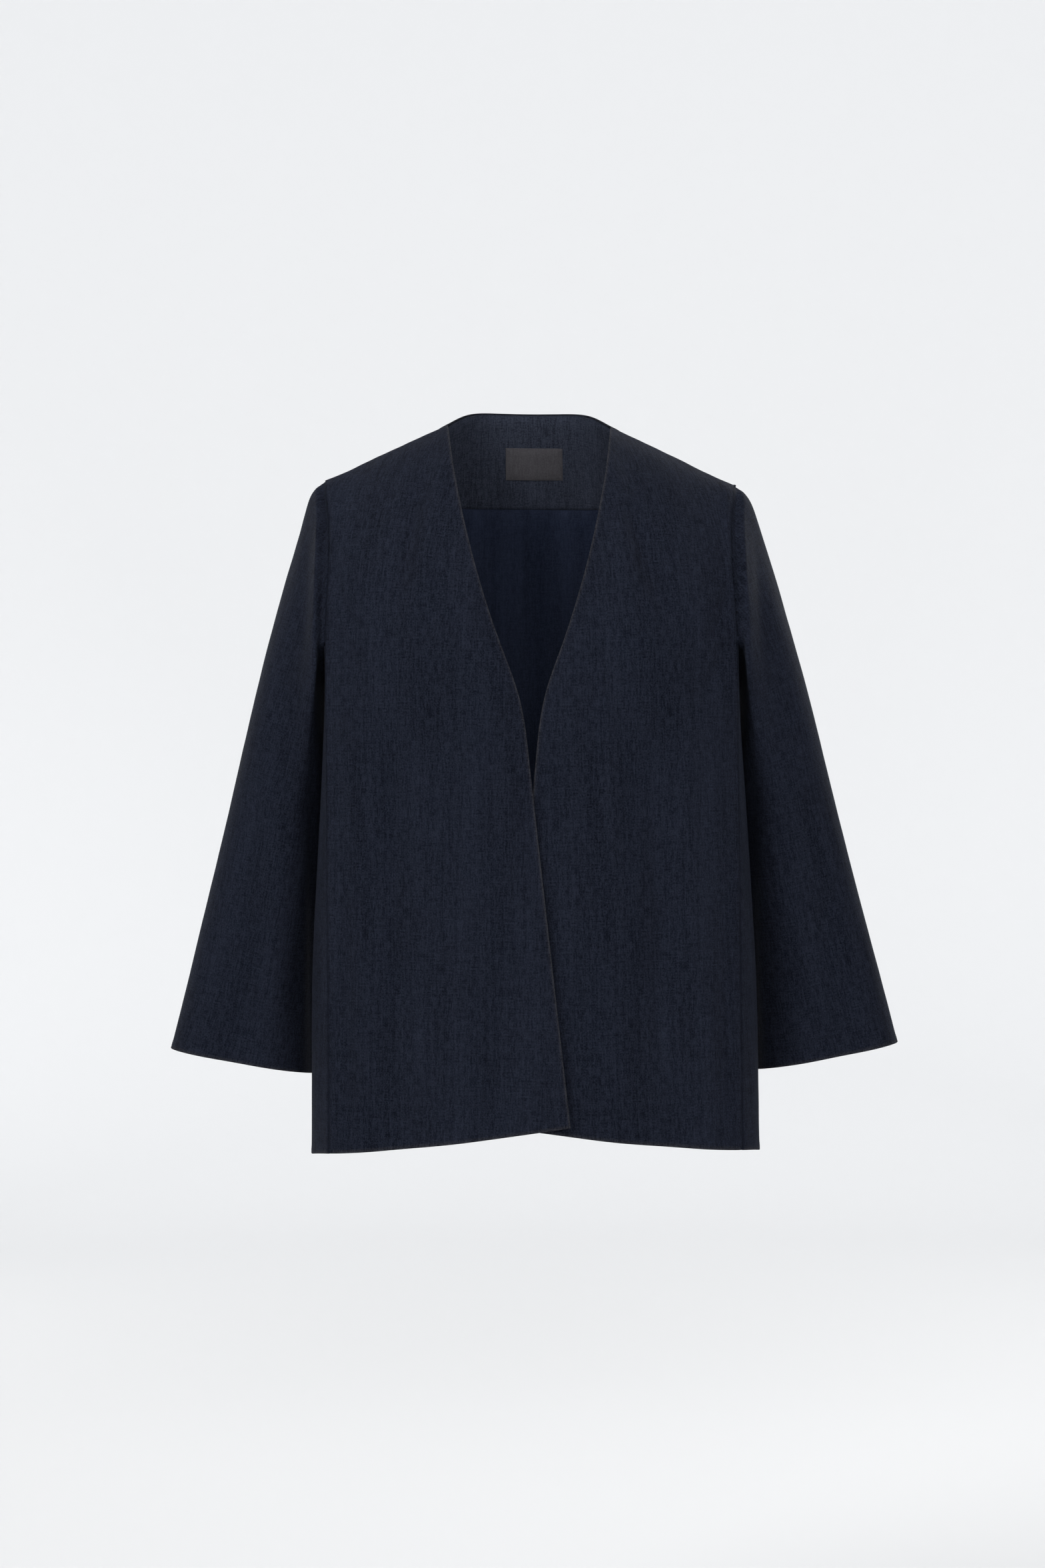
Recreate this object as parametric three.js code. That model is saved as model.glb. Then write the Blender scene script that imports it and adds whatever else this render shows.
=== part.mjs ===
// Collarless open-front denim jacket, filled out as if worn, with nobody in it.
// Millimetres. +X is the viewer's right, +Y is towards the back, +Z is up.
// The origin is the middle of the neck opening, level with the neck ends of the shoulder seams.
// Each cut piece is a closed wall of cloth: an outer skin, an inner skin and a rim round every free edge.
import * as THREE from "three";

const { lerp, clamp, smoothstep, degToRad, radToDeg } = THREE.MathUtils;

// Cloth
const DENIM = 1.5; // wall of the denim pieces
const THIN_CLOTH = 1.0; // wall of the facing, lining and label
const SEAM_GAP = 0.36; // between the rims of two pieces that are sewn together
const SLEEVE_GAP = 0.6; // between a sleeve's rim and the armhole's
const UNDERARM_LIFT = 0.5; // by which a sleeve's rim stands off the body under the arm
const LAYER_GAP = 0.8; // between a panel and what lies on it

// Shoulders and neck
const NECK_HALF_WIDTH = 79;
const NECK_END_Z = 1.4; // neck end of the shoulder seam
const SHOULDER_HALF_WIDTH = 197; // to the top of the armhole
const SHOULDER_SLOPE = 0.42;
const SHOULDER_CURVE = 0.0005;
const SHOULDER_ROUNDING = 170; // height over which the cloth swells out from the shoulder ridge
const SHOULDER_FULLNESS = 0.667; // how fast it does so: less is faster
const NECK_FULLNESS = 1.25; // and how fast it does so below the middle of the back neck
const BACK_NECK_DEPTH = 62; // from the shoulder ridge back to the centre back neck
const BACK_NECK_RISE = 18.2; // the back neck stands this far above the neck ends
const BACK_NECK_RISE_ANGLE = 50; // degrees round the neck by which that height is reached

// Front edge, seen from the front: a soft V down to its point, then a straight edge that swings across
const V_CONTROL = { x: 63.4, z: -140 };
const V_END = { x: 14, z: -258 };
const V_POINT = { x: 9, z: -270 };
const EDGE_START = { x: 7.4, z: -285 };
const FRONT_CORNER = { x: -32.6, z: -668.6 };

// Sides and hem
const SEAM_X = 196.5; // the side seam, well forward, seen from the front as a straight upright line
const ARMHOLE_NIP = 4; // how much the front is narrower at the middle of the armhole
const ARMHOLE_NIP_Z = -125;
const ARMHOLE_NIP_SPREAD = 60;
const BACK_ARMHOLE_NIP = 12; // how much the back is narrower there
const ARMHOLE_SEAM_Z = -215; // where the side seam meets the armhole
const UNDERARM_Z = -245;
const HEM_CENTRE_Z = -673.6;
const HEM_SLOPE = -0.143; // the front hem drops towards the side
const HEM_CURVE = 0.00014;
const SIDE_HEM_Z = -702;
const BACK_HEM_Z = -692;

// Plan sections: how far forward the front hangs at its middle and at the side seam,
// the widest half width, how far back the back hangs, and how square the back is (2 is an ellipse).
const SECTIONS = [
  { z: 20, front: -90, seam: -62, side: 197.5, back: 100, squareness: 3.0 },
  { z: -110, front: -112, seam: -74, side: 198, back: 108, squareness: 3.0 },
  { z: -215, front: -124, seam: -78, side: 198.5, back: 113, squareness: 2.35 },
  { z: -300, front: -124, seam: -77, side: 201.5, back: 110, squareness: 2.15 },
  { z: -420, front: -121, seam: -75, side: 208.5, back: 106, squareness: 2.15 },
  { z: -540, front: -122, seam: -77, side: 215, back: 110, squareness: 2.15 },
  { z: -705, front: -126, seam: -82, side: 217.5, back: 121, squareness: 2.15 },
];
const SIDE_Y = -28; // the widest point of a section
const WIDEST_AT = 0.16; // its place along the back piece, from side seam (0) to centre back (1)
const FRONT_FLATNESS = 3.2; // exponent of the front

// The fullness that the cut gives the chest of each front
const CHEST = { x: 92, z: -215, width: 60, height: 78, depth: 7 };

// Soft folds seen from the front or the back. depth is positive for a ridge and negative for a trough.
const FRONT_FOLDS = [
  { x1: 98, z1: -70, x2: 132, z2: -190, width: 15, depth: -4.0 },
  { x1: 60, z1: -330, x2: 66, z2: -690, width: 27, depth: 4.5 },
  { x1: 118, z1: -300, x2: 126, z2: -695, width: 22, depth: -5.0 },
  { x1: 164, z1: -280, x2: 168, z2: -700, width: 17, depth: 3.0 },
  { x1: 30, z1: -120, x2: 12, z2: -300, width: 14, depth: -2.0 },
];
const BACK_FOLDS = [
  { x1: 70, z1: -260, x2: 84, z2: -695, width: 26, depth: -6.0 },
  { x1: 128, z1: -230, x2: 142, z2: -700, width: 22, depth: 6.0 },
  { x1: 150, z1: -120, x2: 112, z2: -260, width: 17, depth: -4.0 },
];
const SLEEVE_FRONT_FOLDS = [
  { x1: 207, z1: -110, x2: 214, z2: -300, width: 9, depth: 6.0 },
  { x1: 226, z1: -150, x2: 240, z2: -330, width: 12, depth: -5.0 },
  { x1: 262, z1: -330, x2: 296, z2: -600, width: 14, depth: -6.0 },
  { x1: 240, z1: -400, x2: 252, z2: -612, width: 13, depth: 4.5 },
];
const SLEEVE_BACK_FOLDS = [
  { x1: 214, z1: -120, x2: 224, z2: -300, width: 12, depth: 6.0 },
  { x1: 240, z1: -170, x2: 254, z2: -360, width: 13, depth: -6.0 },
  { x1: 272, z1: -330, x2: 307, z2: -600, width: 16, depth: 5.0 },
  { x1: 240, z1: -420, x2: 258, z2: -610, width: 14, depth: -5.0 },
];
const CENTRE_BACK_CREASE = { width: 12, depth: 2.2 };

// Overlap: the wearer's right front lies over the left one, and its free edge stands off towards the hem
const OVERLAP_START_Z = -285;
const OVERLAP_FULL_Z = -350;
const UNDER_SET_BACK = 3.2; // the under front sits this far back at the middle
const UNDER_FADE_X = 95;
const EDGE_STAND_OFF = 7.5; // of the over front at the hem
const EDGE_STAND_OFF_X = 70;

// Sleeve, seen from the front: the outer line, the under line and the slanted cuff between their ends
const CAP_CONTROL = { x: 213.5, z: -63.5 };
const CAP_END = { x: 219, z: -85 }; // where the rounded shoulder turns into the straight outer line
const SLEEVE_BEND = { x: 238.7, z: -147 };
const CUFF_OUTER = { x: 356, z: -604.5 };
const UNDER_TURN = { x: 206, z: -251 }; // the under line clears the body's side
const UNDER_MIDDLE = { x: 207, z: -420 };
const CUFF_INNER = { x: 212, z: -630 };
const UPPER_HALF_DEPTH = 61;
const MIDDLE_HALF_DEPTH = 52;
const CUFF_HALF_DEPTH = 45;
const CUFF_BACK_SHIFT = 40; // the cuff hangs behind the front corner of the body
const SLEEVE_SQUARENESS = 2.2;
const CAP_BLEND = 0.34; // share of the sleeve over which the armhole's outline fades into the tube
const RING_CROWDING = 1.2; // rings lie closer together at the armhole

// Facing, lining and label
const FACING_BOTTOM_Z = -72;
const SEAM_DIP_Z = -118; // the back's row at the facing's lower edge runs down to here at the armhole
const EDGE_INSET = 0.1; // share of a grid step by which facing and lining stop short of the back's edges
const PART_INSET = 0.02; // and by which they stop short of each other
const LABEL = { x: 5, z: -27.5, width: 58, height: 31, columns: 8, rows: 4 };

// Grid sizes
const ARMHOLE_ROWS = 11; // from the shoulder seam to the foot of the front armhole
const LOWER_ROWS = 14; // from there to the hem, on the fronts and the back alike
const ROW_CROWDING = 1.3; // rows lie closer together at the shoulder
const EDGE_LEVEL_Z = -258; // where the row at the foot of the armhole meets the front edge
const FRONT_COLUMNS = 12;
const SIDE_COLUMNS = 5; // of the back piece, side seam to armhole, on each side
const BACK_HALF_COLUMNS = 9; // armhole to centre back
const FACING_SIDE_COLUMN = 3; // the back's column, counted from the armhole, where the facing begins
const FACING_ROWS = 5; // from the back's top edge to the facing's lower edge
const BELOW_FACING_ROWS = 8; // from there to the underarm
const LINING_ROWS = 13; // of the lower rows: the lining stops short of the hem
const ARMHOLE_SHARE = 0.332; // place of the back armhole's foot, from side seam (0) to centre back (1)
const NECK_SHARE = 0.58; // place of the neck end, from shoulder tip (0) to centre back (1)
const SLEEVE_RINGS = 20;

const COLOURS = {
  denim: { color: 0x1c222e, roughness: 0.92 },
  lining: { color: 0x101a2b, roughness: 0.55 },
  label: { color: 0x262423, roughness: 0.6 },
};

const vec = (x, y, z) => new THREE.Vector3(x, y, z);
const flat = (p) => new THREE.Vector2(p.x, p.z);
const mirrored = (p, side) => vec(side * p.x, p.y, p.z);

function hermite(p0, m0, p1, m1, t) {
  const t2 = t * t;
  const t3 = t2 * t;
  return (2 * t3 - 3 * t2 + 1) * p0 + (t3 - 2 * t2 + t) * m0 + (3 * t2 - 2 * t3) * p1 + (t3 - t2) * m1;
}

// A column of the table of sections at a height, smoothly between its rows, which go down.
function sectionAt(column, z) {
  const last = SECTIONS.length - 1;
  const at = clamp(z, SECTIONS[last].z, SECTIONS[0].z);
  let i = 0;
  while (i < last - 1 && SECTIONS[i + 1].z > at) i += 1;
  const slope = (a, b) => (SECTIONS[b][column] - SECTIONS[a][column]) / (SECTIONS[b].z - SECTIONS[a].z);
  const span = SECTIONS[i + 1].z - SECTIONS[i].z;
  const m0 = slope(Math.max(i - 1, 0), i + 1) * span;
  const m1 = slope(i, Math.min(i + 2, last)) * span;
  return hermite(SECTIONS[i][column], m0, SECTIONS[i + 1][column], m1, (at - SECTIONS[i].z) / span);
}

// Height of a set of soft folds at a place.
function foldHeight(folds, x, z) {
  let sum = 0;
  for (const f of folds) {
    const dx = f.x2 - f.x1;
    const dz = f.z2 - f.z1;
    const length = Math.hypot(dx, dz);
    const along = ((x - f.x1) * dx + (z - f.z1) * dz) / length;
    const across = ((x - f.x1) * dz - (z - f.z1) * dx) / length;
    const ends = smoothstep(along, -0.15 * length, 0.35 * length)
      * (1 - smoothstep(along, 0.92 * length, 1.25 * length));
    sum += f.depth * ends * Math.exp(-((across / f.width) ** 2));
  }
  return sum;
}

// Height of the shoulder ridge at a distance from the middle.
function shoulderZ(x) {
  const out = x - NECK_HALF_WIDTH;
  return NECK_END_Z - SHOULDER_SLOPE * out - SHOULDER_CURVE * out * Math.abs(out);
}

function hemZ(x) {
  return HEM_CENTRE_Z + HEM_SLOPE * x + HEM_CURVE * x * x;
}

// Share of the full section that is reached at a distance below the ridge.
function swell(below, fullness) {
  const down = clamp(below / SHOULDER_ROUNDING, 0, 1);
  return (1 - (1 - down) ** 2) ** fullness;
}

// The front surface at a distance from the middle. x goes below 0 where a front crosses the middle.
function frontY(x, z) {
  const middle = sectionAt("front", z);
  const base = lerp(middle, sectionAt("seam", z), Math.abs(x / SEAM_X) ** FRONT_FLATNESS);
  const chest = CHEST.depth
    * Math.exp(-(((x - CHEST.x) / CHEST.width) ** 2) - ((z - CHEST.z) / CHEST.height) ** 2);
  return (base - chest - foldHeight(FRONT_FOLDS, x, z)) * swell(shoulderZ(Math.abs(x)) - z, SHOULDER_FULLNESS);
}

function sideBoundaryX(z) {
  return SEAM_X - ARMHOLE_NIP * Math.exp(-(((z - ARMHOLE_NIP_Z) / ARMHOLE_NIP_SPREAD) ** 2));
}

// The free edge of a front, from the neck end of the shoulder seam to the hem corner.
function frontEdge() {
  const path = new THREE.CurvePath();
  const neckEnd = new THREE.Vector2(NECK_HALF_WIDTH, NECK_END_Z);
  path.add(new THREE.QuadraticBezierCurve(neckEnd, flat(V_CONTROL), flat(V_END)));
  path.add(new THREE.QuadraticBezierCurve(flat(V_END), flat(V_POINT), flat(EDGE_START)));
  path.add(new THREE.LineCurve(flat(EDGE_START), flat(FRONT_CORNER)));
  return path.getSpacedPoints(240);
}

const EDGE_POINTS = frontEdge();

function frontEdgeX(z) {
  let i = 1;
  while (i < EDGE_POINTS.length - 1 && EDGE_POINTS[i].y > z) i += 1;
  const above = EDGE_POINTS[i - 1];
  const below = EDGE_POINTS[i];
  return lerp(above.x, below.x, clamp((z - above.y) / (below.y - above.y), 0, 1));
}

// How far the over front stands forward, or the under front sits back, where they overlap.
function overlapShift(x, z, isOver) {
  if (!isOver) {
    const down = 1 - smoothstep(z, OVERLAP_FULL_Z, OVERLAP_START_Z);
    return UNDER_SET_BACK * down * (1 - smoothstep(x, 0, UNDER_FADE_X));
  }
  const low = clamp((OVERLAP_START_Z - z) / (OVERLAP_START_Z - HEM_CENTRE_Z), 0, 1);
  return -EDGE_STAND_OFF * low * low * (1 - smoothstep(x, FRONT_CORNER.x, EDGE_STAND_OFF_X));
}

// One front: rows run from the side (column 0) to the free edge.
function frontGrid(side) {
  const tipZ = shoulderZ(SHOULDER_HALF_WIDTH);
  const cornerZ = hemZ(SEAM_X);
  const rowCount = ARMHOLE_ROWS + LOWER_ROWS;
  const rows = [];
  for (let i = 0; i <= rowCount; i += 1) {
    const isUpper = i <= ARMHOLE_ROWS;
    const share = isUpper ? (i / ARMHOLE_ROWS) ** ROW_CROWDING : (i - ARMHOLE_ROWS) / LOWER_ROWS;
    const sideZ = isUpper ? lerp(tipZ, ARMHOLE_SEAM_Z, share) : lerp(ARMHOLE_SEAM_Z, cornerZ, share);
    const edgeZ = isUpper ? lerp(NECK_END_Z, EDGE_LEVEL_Z, share) : lerp(EDGE_LEVEL_Z, FRONT_CORNER.z, share);
    const sideX = i === 0 ? SHOULDER_HALF_WIDTH : sideBoundaryX(sideZ);
    const edgeX = frontEdgeX(edgeZ);
    const fromTop = (1 - i / rowCount) ** 4;
    const fromHem = (i / rowCount) ** 4;
    const row = [];
    for (let j = 0; j <= FRONT_COLUMNS; j += 1) {
      const u = j / FRONT_COLUMNS;
      const x = lerp(sideX, edgeX, u);
      const z = lerp(sideZ, edgeZ, u)
        + (shoulderZ(x) - lerp(tipZ, NECK_END_Z, u)) * fromTop
        + (hemZ(x) - lerp(cornerZ, FRONT_CORNER.z, u)) * fromHem;
      row.push(vec(side * x, frontY(x, z) + overlapShift(x, z, side < 0), z));
    }
    rows.push(row);
  }
  return rows;
}

// The full back surface at a distance from the middle, seen from the back.
function fullBackY(x, z) {
  const square = sectionAt("squareness", z);
  const inward = Math.max(1 - (Math.abs(x) / sectionAt("side", z)) ** square, 0);
  const crease = CENTRE_BACK_CREASE.depth * Math.exp(-((x / CENTRE_BACK_CREASE.width) ** 2));
  const soft = (foldHeight(BACK_FOLDS, Math.abs(x), z) - crease) * inward;
  return lerp(SIDE_Y, sectionAt("back", z), inward ** (1 / square)) + soft;
}

// The back piece below the armhole, from the side seam (t = 0) round to the centre back (t = 1).
function wrapPoint(t, z) {
  const widest = sectionAt("side", z);
  if (t < WIDEST_AT) {
    const k = t / WIDEST_AT;
    const turn = 1 - (1 - k) ** 2;
    return vec(lerp(SEAM_X, widest, turn), lerp(frontY(SEAM_X, z), SIDE_Y, k), z);
  }
  const angle = ((t - WIDEST_AT) / (1 - WIDEST_AT)) * (Math.PI / 2);
  const x = widest * Math.max(Math.cos(angle), 0) ** (2 / sectionAt("squareness", z));
  return vec(x, fullBackY(x, z), z);
}

function wrapTopZ(t) {
  return lerp(ARMHOLE_SEAM_Z, UNDERARM_Z, smoothstep(t, 0, WIDEST_AT * 1.3));
}

function wrapHemZ(t) {
  const toSide = lerp(hemZ(SEAM_X), SIDE_HEM_Z, smoothstep(t, 0, WIDEST_AT));
  return lerp(toSide, BACK_HEM_Z, smoothstep(t, WIDEST_AT, 1));
}

// How far round the neck a place on the back lies: 0 at the neck end and beyond it, 1 at the middle.
function neckTurn(x) {
  return Math.sqrt(Math.max(1 - (x / NECK_HALF_WIDTH) ** 2, 0));
}

// Height of the back's top edge at a distance from the middle.
function backTopZ(x) {
  if (x >= NECK_HALF_WIDTH) return shoulderZ(x);
  return NECK_END_Z + BACK_NECK_RISE * smoothstep(radToDeg(Math.asin(neckTurn(x))), 0, BACK_NECK_RISE_ANGLE);
}

// Distance of that edge from the middle: shoulder tip (f = 0), neck end, centre back (f = 1).
function backTopX(f) {
  if (f <= NECK_SHARE) return lerp(SHOULDER_HALF_WIDTH, NECK_HALF_WIDTH, f / NECK_SHARE);
  return NECK_HALF_WIDTH * Math.cos(degToRad(90 * ((f - NECK_SHARE) / (1 - NECK_SHARE))));
}

// The upper back leaves its top edge and swells out to the full section.
function upperBackY(x, z) {
  const turn = neckTurn(x);
  const fullness = lerp(SHOULDER_FULLNESS, NECK_FULLNESS, turn);
  return lerp(BACK_NECK_DEPTH * turn, fullBackY(x, z), swell(backTopZ(x) - z, fullness));
}

// The upper back at f from armhole (0) to centre back (1), at one of its rows.
function upperBackPoint(f, row) {
  const topX = backTopX(f);
  const topZ = backTopZ(topX);
  if (row === 0) return vec(topX, BACK_NECK_DEPTH * neckTurn(topX), topZ);
  const seamZ = lerp(SEAM_DIP_Z, FACING_BOTTOM_Z, smoothstep(f, 0, FACING_SIDE_COLUMN / BACK_HALF_COLUMNS));
  const z = row <= FACING_ROWS ? lerp(topZ, seamZ, (row / FACING_ROWS) ** ROW_CROWDING)
    : lerp(seamZ, UNDERARM_Z, (row - FACING_ROWS) / BELOW_FACING_ROWS);
  const down = (topZ - z) / (topZ - UNDERARM_Z);
  const footX = wrapPoint(lerp(ARMHOLE_SHARE, 1, f), UNDERARM_Z).x;
  const nip = BACK_ARMHOLE_NIP * Math.sin(Math.PI * down) * (1 - f) ** 2;
  const x = lerp(topX, footX, down) - nip;
  return vec(x, upperBackY(x, z), z);
}

// The back's columns from one side seam over the middle to the other, as places from side seam (0) to middle (1).
function backColumns() {
  const half = [];
  for (let j = 0; j < SIDE_COLUMNS; j += 1) half.push(lerp(0, ARMHOLE_SHARE, j / SIDE_COLUMNS));
  for (let j = 0; j <= BACK_HALF_COLUMNS; j += 1) half.push(lerp(ARMHOLE_SHARE, 1, j / BACK_HALF_COLUMNS));
  const viewersLeft = half.map((t) => ({ t, side: -1 }));
  const viewersRight = half.slice(0, -1).reverse().map((t) => ({ t, side: 1 }));
  return viewersLeft.concat(viewersRight);
}

function lowerBackGrid() {
  const rows = [];
  for (let i = 0; i <= LOWER_ROWS; i += 1) {
    rows.push(backColumns().map(({ t, side }) => {
      const z = lerp(wrapTopZ(t), wrapHemZ(t), i / LOWER_ROWS);
      return mirrored(wrapPoint(t, z), side);
    }));
  }
  return rows;
}

function upperBackGrid() {
  const columns = backColumns().slice(SIDE_COLUMNS, -SIDE_COLUMNS);
  const rows = [];
  for (let i = 0; i <= FACING_ROWS + BELOW_FACING_ROWS; i += 1) {
    rows.push(columns.map(({ t, side }) => {
      const f = (t - ARMHOLE_SHARE) / (1 - ARMHOLE_SHARE);
      return mirrored(upperBackPoint(f, i), side);
    }));
  }
  return rows;
}

// Welds grids of points into one sheet. A sheet knows its points, their normals and its triangles.
function sheetOf(grids) {
  const points = [];
  const byPlace = new Map();
  const triangles = [];
  const idOf = (p) => {
    const key = [p.x, p.y, p.z].map((c) => Math.round(c * 500)).join(",");
    if (!byPlace.has(key)) {
      byPlace.set(key, points.length);
      points.push(p.clone());
    }
    return byPlace.get(key);
  };
  for (const grid of grids) {
    const ids = grid.map((row) => row.map(idOf));
    for (let i = 0; i + 1 < ids.length; i += 1) {
      for (let j = 0; j + 1 < ids[i].length; j += 1) {
        const [a, b, c, d] = [ids[i][j], ids[i][j + 1], ids[i + 1][j + 1], ids[i + 1][j]];
        for (const t of [[a, b, c], [a, c, d]]) if (new Set(t).size === 3) triangles.push(t);
      }
    }
  }
  const normals = points.map(() => vec(0, 0, 0));
  for (const [a, b, c] of triangles) {
    const ab = points[b].clone().sub(points[a]);
    const n = ab.cross(points[c].clone().sub(points[a]));
    for (const k of [a, b, c]) normals[k].add(n);
  }
  normals.forEach((n) => n.normalize());
  return { points, normals, triangles, idOf };
}

// Closes a sheet whose triangles face outwards into a wall between two depths under its points.
function wallOf(sheet, fromDepth, toDepth) {
  const { points, normals, triangles } = sheet;
  const count = points.length;
  const skin = (depth) => points.map((p, k) => p.clone().addScaledVector(normals[k], -depth));
  const index = [];
  const edges = new Map();
  for (const [a, b, c] of triangles) {
    index.push(a, b, c, a + count, c + count, b + count);
    for (const [p, q] of [[a, b], [b, c], [c, a]]) {
      if (!edges.delete(`${q},${p}`)) edges.set(`${p},${q}`, [p, q]);
    }
  }
  for (const [p, q] of edges.values()) index.push(q, p, p + count, q, p + count, q + count);
  const geometry = new THREE.BufferGeometry().setFromPoints([...skin(fromDepth), ...skin(toDepth)]);
  geometry.setIndex(index);
  return geometry;
}

// Sets the normal at one of a sheet's points and moves the point.
function setSeam(sheet, p, normal, shift) {
  const id = sheet.idOf(p);
  sheet.normals[id].copy(normal);
  sheet.points[id].add(shift);
}

// Both pieces share one normal along the side seam, and are parted by the seam's gap.
function sewSide(front, back, lower) {
  const { side, sheet, grid } = front;
  const pairs = lower.map((row, i) => ({
    frontPoint: grid[ARMHOLE_ROWS + i][0],
    backPoint: side < 0 ? row[0] : row[row.length - 1],
  }));
  const shared = pairs.map(({ frontPoint, backPoint }) => sheet.normals[sheet.idOf(frontPoint)].clone()
    .add(back.normals[back.idOf(backPoint)]).setZ(0).normalize());
  pairs.forEach(({ frontPoint, backPoint }, i) => {
    const n = shared[i].clone().add(shared[Math.max(i - 1, 0)])
      .add(shared[Math.min(i + 1, shared.length - 1)]).normalize();
    const forward = vec(n.y, -n.x, 0).multiplyScalar(side * (SEAM_GAP / 2));
    setSeam(sheet, frontPoint, n, forward);
    setSeam(back, backPoint, n, forward.clone().negate());
  });
}

// Both pieces share the ridge's normal along the shoulder seam.
function sewShoulder(front, back, upper) {
  const ridge = vec(front.side * SHOULDER_SLOPE, 0, 1).normalize();
  const onShoulder = (p) => p.x * front.side >= NECK_HALF_WIDTH - SEAM_GAP;
  for (const p of front.grid[0]) setSeam(front.sheet, p, ridge, vec(0, -SEAM_GAP / 2, 0));
  for (const p of upper[0].filter(onShoulder)) setSeam(back, p, ridge, vec(0, SEAM_GAP / 2, 0));
}

// The armhole's outline for the sleeve: from its top down the front, under the arm and up the back.
function armholeLoop(front, back, lower, upper) {
  const fromSide = (row) => (front.side < 0 ? row : [...row].reverse());
  const lift = (p, sheet) => p.clone().addScaledVector(sheet.normals[sheet.idOf(p)], UNDERARM_LIFT);
  const downFront = front.grid.slice(0, ARMHOLE_ROWS + 1).map((row) => row[0]);
  downFront.push(lift(downFront.pop(), front.sheet));
  const underArm = fromSide(lower[0]).slice(1, SIDE_COLUMNS + 1).map((p) => lift(p, back));
  const upBack = upper.slice(1, -1).reverse().map((row) => fromSide(row)[0]);
  return [...downFront, ...underArm, ...upBack].map((p) => vec(Math.abs(p.x), p.y, p.z));
}

// Share of a closed outline's length at which each of its points lies.
function lengthShares(loop) {
  const shares = [0];
  for (let i = 1; i <= loop.length; i += 1) {
    shares.push(shares[i - 1] + loop[i % loop.length].distanceTo(loop[i - 1]));
  }
  return shares.map((s) => s / shares[loop.length]);
}

// The sleeve's outer and under lines, seen from the front.
function sleeveLines() {
  const tip = new THREE.Vector2(SHOULDER_HALF_WIDTH, shoulderZ(SHOULDER_HALF_WIDTH));
  const foot = new THREE.Vector2(sectionAt("side", UNDERARM_Z), UNDERARM_Z);
  const outer = new THREE.CurvePath();
  outer.add(new THREE.QuadraticBezierCurve(tip, flat(CAP_CONTROL), flat(CAP_END)));
  outer.add(new THREE.LineCurve(flat(CAP_END), flat(SLEEVE_BEND)));
  outer.add(new THREE.LineCurve(flat(SLEEVE_BEND), flat(CUFF_OUTER)));
  const under = new THREE.CurvePath();
  under.add(new THREE.LineCurve(foot, flat(UNDER_TURN)));
  under.add(new THREE.QuadraticBezierCurve(flat(UNDER_TURN), flat(UNDER_MIDDLE), flat(CUFF_INNER)));
  return { outer, under };
}

const signedPower = (value, power) => Math.sign(value) * Math.abs(value) ** power;

// A point of the plain tube at s from armhole (0) to cuff (1), turn going from outside over front and under.
function tubePoint(lines, s, turn) {
  const o = lines.outer.getPointAt(s);
  const i = lines.under.getPointAt(s);
  const across = (1 + signedPower(Math.cos(turn), 2 / SLEEVE_SQUARENESS)) / 2;
  const forward = signedPower(Math.sin(turn), 2 / SLEEVE_SQUARENESS);
  const upper = lerp(UPPER_HALF_DEPTH, MIDDLE_HALF_DEPTH, smoothstep(s, 0, 0.5));
  const depth = lerp(upper, CUFF_HALF_DEPTH, smoothstep(s, 0.5, 1));
  const x = lerp(i.x, o.x, across);
  const z = lerp(i.y, o.y, across);
  const folds = forward > 0 ? -foldHeight(SLEEVE_FRONT_FOLDS, x, z) : foldHeight(SLEEVE_BACK_FOLDS, x, z);
  const soft = folds * Math.abs(forward) ** 1.5 * smoothstep(s, 0, 0.1);
  return vec(x, CUFF_BACK_SHIFT * smoothstep(s, 0, 1) - depth * forward + soft, z);
}

function sleeveGrid(side, loop) {
  const lines = sleeveLines();
  const turns = lengthShares(loop).slice(0, -1).map((share) => 2 * Math.PI * share);
  const rings = [];
  for (let r = 0; r <= SLEEVE_RINGS; r += 1) {
    const s = (r / SLEEVE_RINGS) ** RING_CROWDING;
    const fade = 1 - smoothstep(s, 0, CAP_BLEND);
    const ring = turns.map((turn, k) => {
      const p = tubePoint(lines, s, turn);
      p.addScaledVector(loop[k].clone().sub(tubePoint(lines, 0, turn)), fade);
      return vec(side * (p.x + SLEEVE_GAP), p.y, p.z);
    });
    ring.push(ring[0].clone());
    rings.push(side < 0 ? ring : ring.reverse());
  }
  return rings;
}

// A sleeve's wall. Its armhole end is cut square to the body, to meet the armhole's rim.
function sleeveWall(side, loop) {
  const rings = sleeveGrid(side, loop);
  const sheet = sheetOf([rings]);
  const ring = rings[0].slice(1);
  const centre = ring.reduce((sum, p) => sum.add(p), vec(0, 0, 0)).divideScalar(ring.length);
  for (const p of ring) {
    const away = p.clone().sub(centre).setX(0).normalize();
    const n = sheet.normals[sheet.idOf(p)].clone().setX(0).normalize();
    setSeam(sheet, p, n.add(away).normalize(), vec(0, 0, 0));
  }
  return wallOf(sheet, 0, DENIM);
}

// A place on the back: a point with the normal along which the layers inside it are moved in.
const mix = (a, b, t) => ({ point: a.point.clone().lerp(b.point, t), normal: a.normal.clone().lerp(b.normal, t) });

function placesOf(back, grid) {
  return grid.map((row) => row.map((p) => {
    const id = back.idOf(p);
    return { point: back.points[id], normal: back.normals[id] };
  }));
}

// Moves the first and last place of each row towards their neighbours.
function trimSides(places, share) {
  return places.map((row) => {
    const last = row.length - 1;
    return [mix(row[0], row[1], share), ...row.slice(1, -1), mix(row[last], row[last - 1], share)];
  });
}

function trimTop(places, share) {
  return [places[0].map((place, j) => mix(place, places[1][j], share)), ...places.slice(1)];
}

function layerSheet(grids) {
  const normals = new Map();
  const pointGrids = grids.map((places) => places.map((row) => row.map(({ point, normal }) => {
    normals.set(point, normal);
    return point;
  })));
  const sheet = sheetOf(pointGrids);
  for (const [point, normal] of normals) sheet.normals[sheet.idOf(point)].copy(normal);
  return sheet;
}

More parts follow.
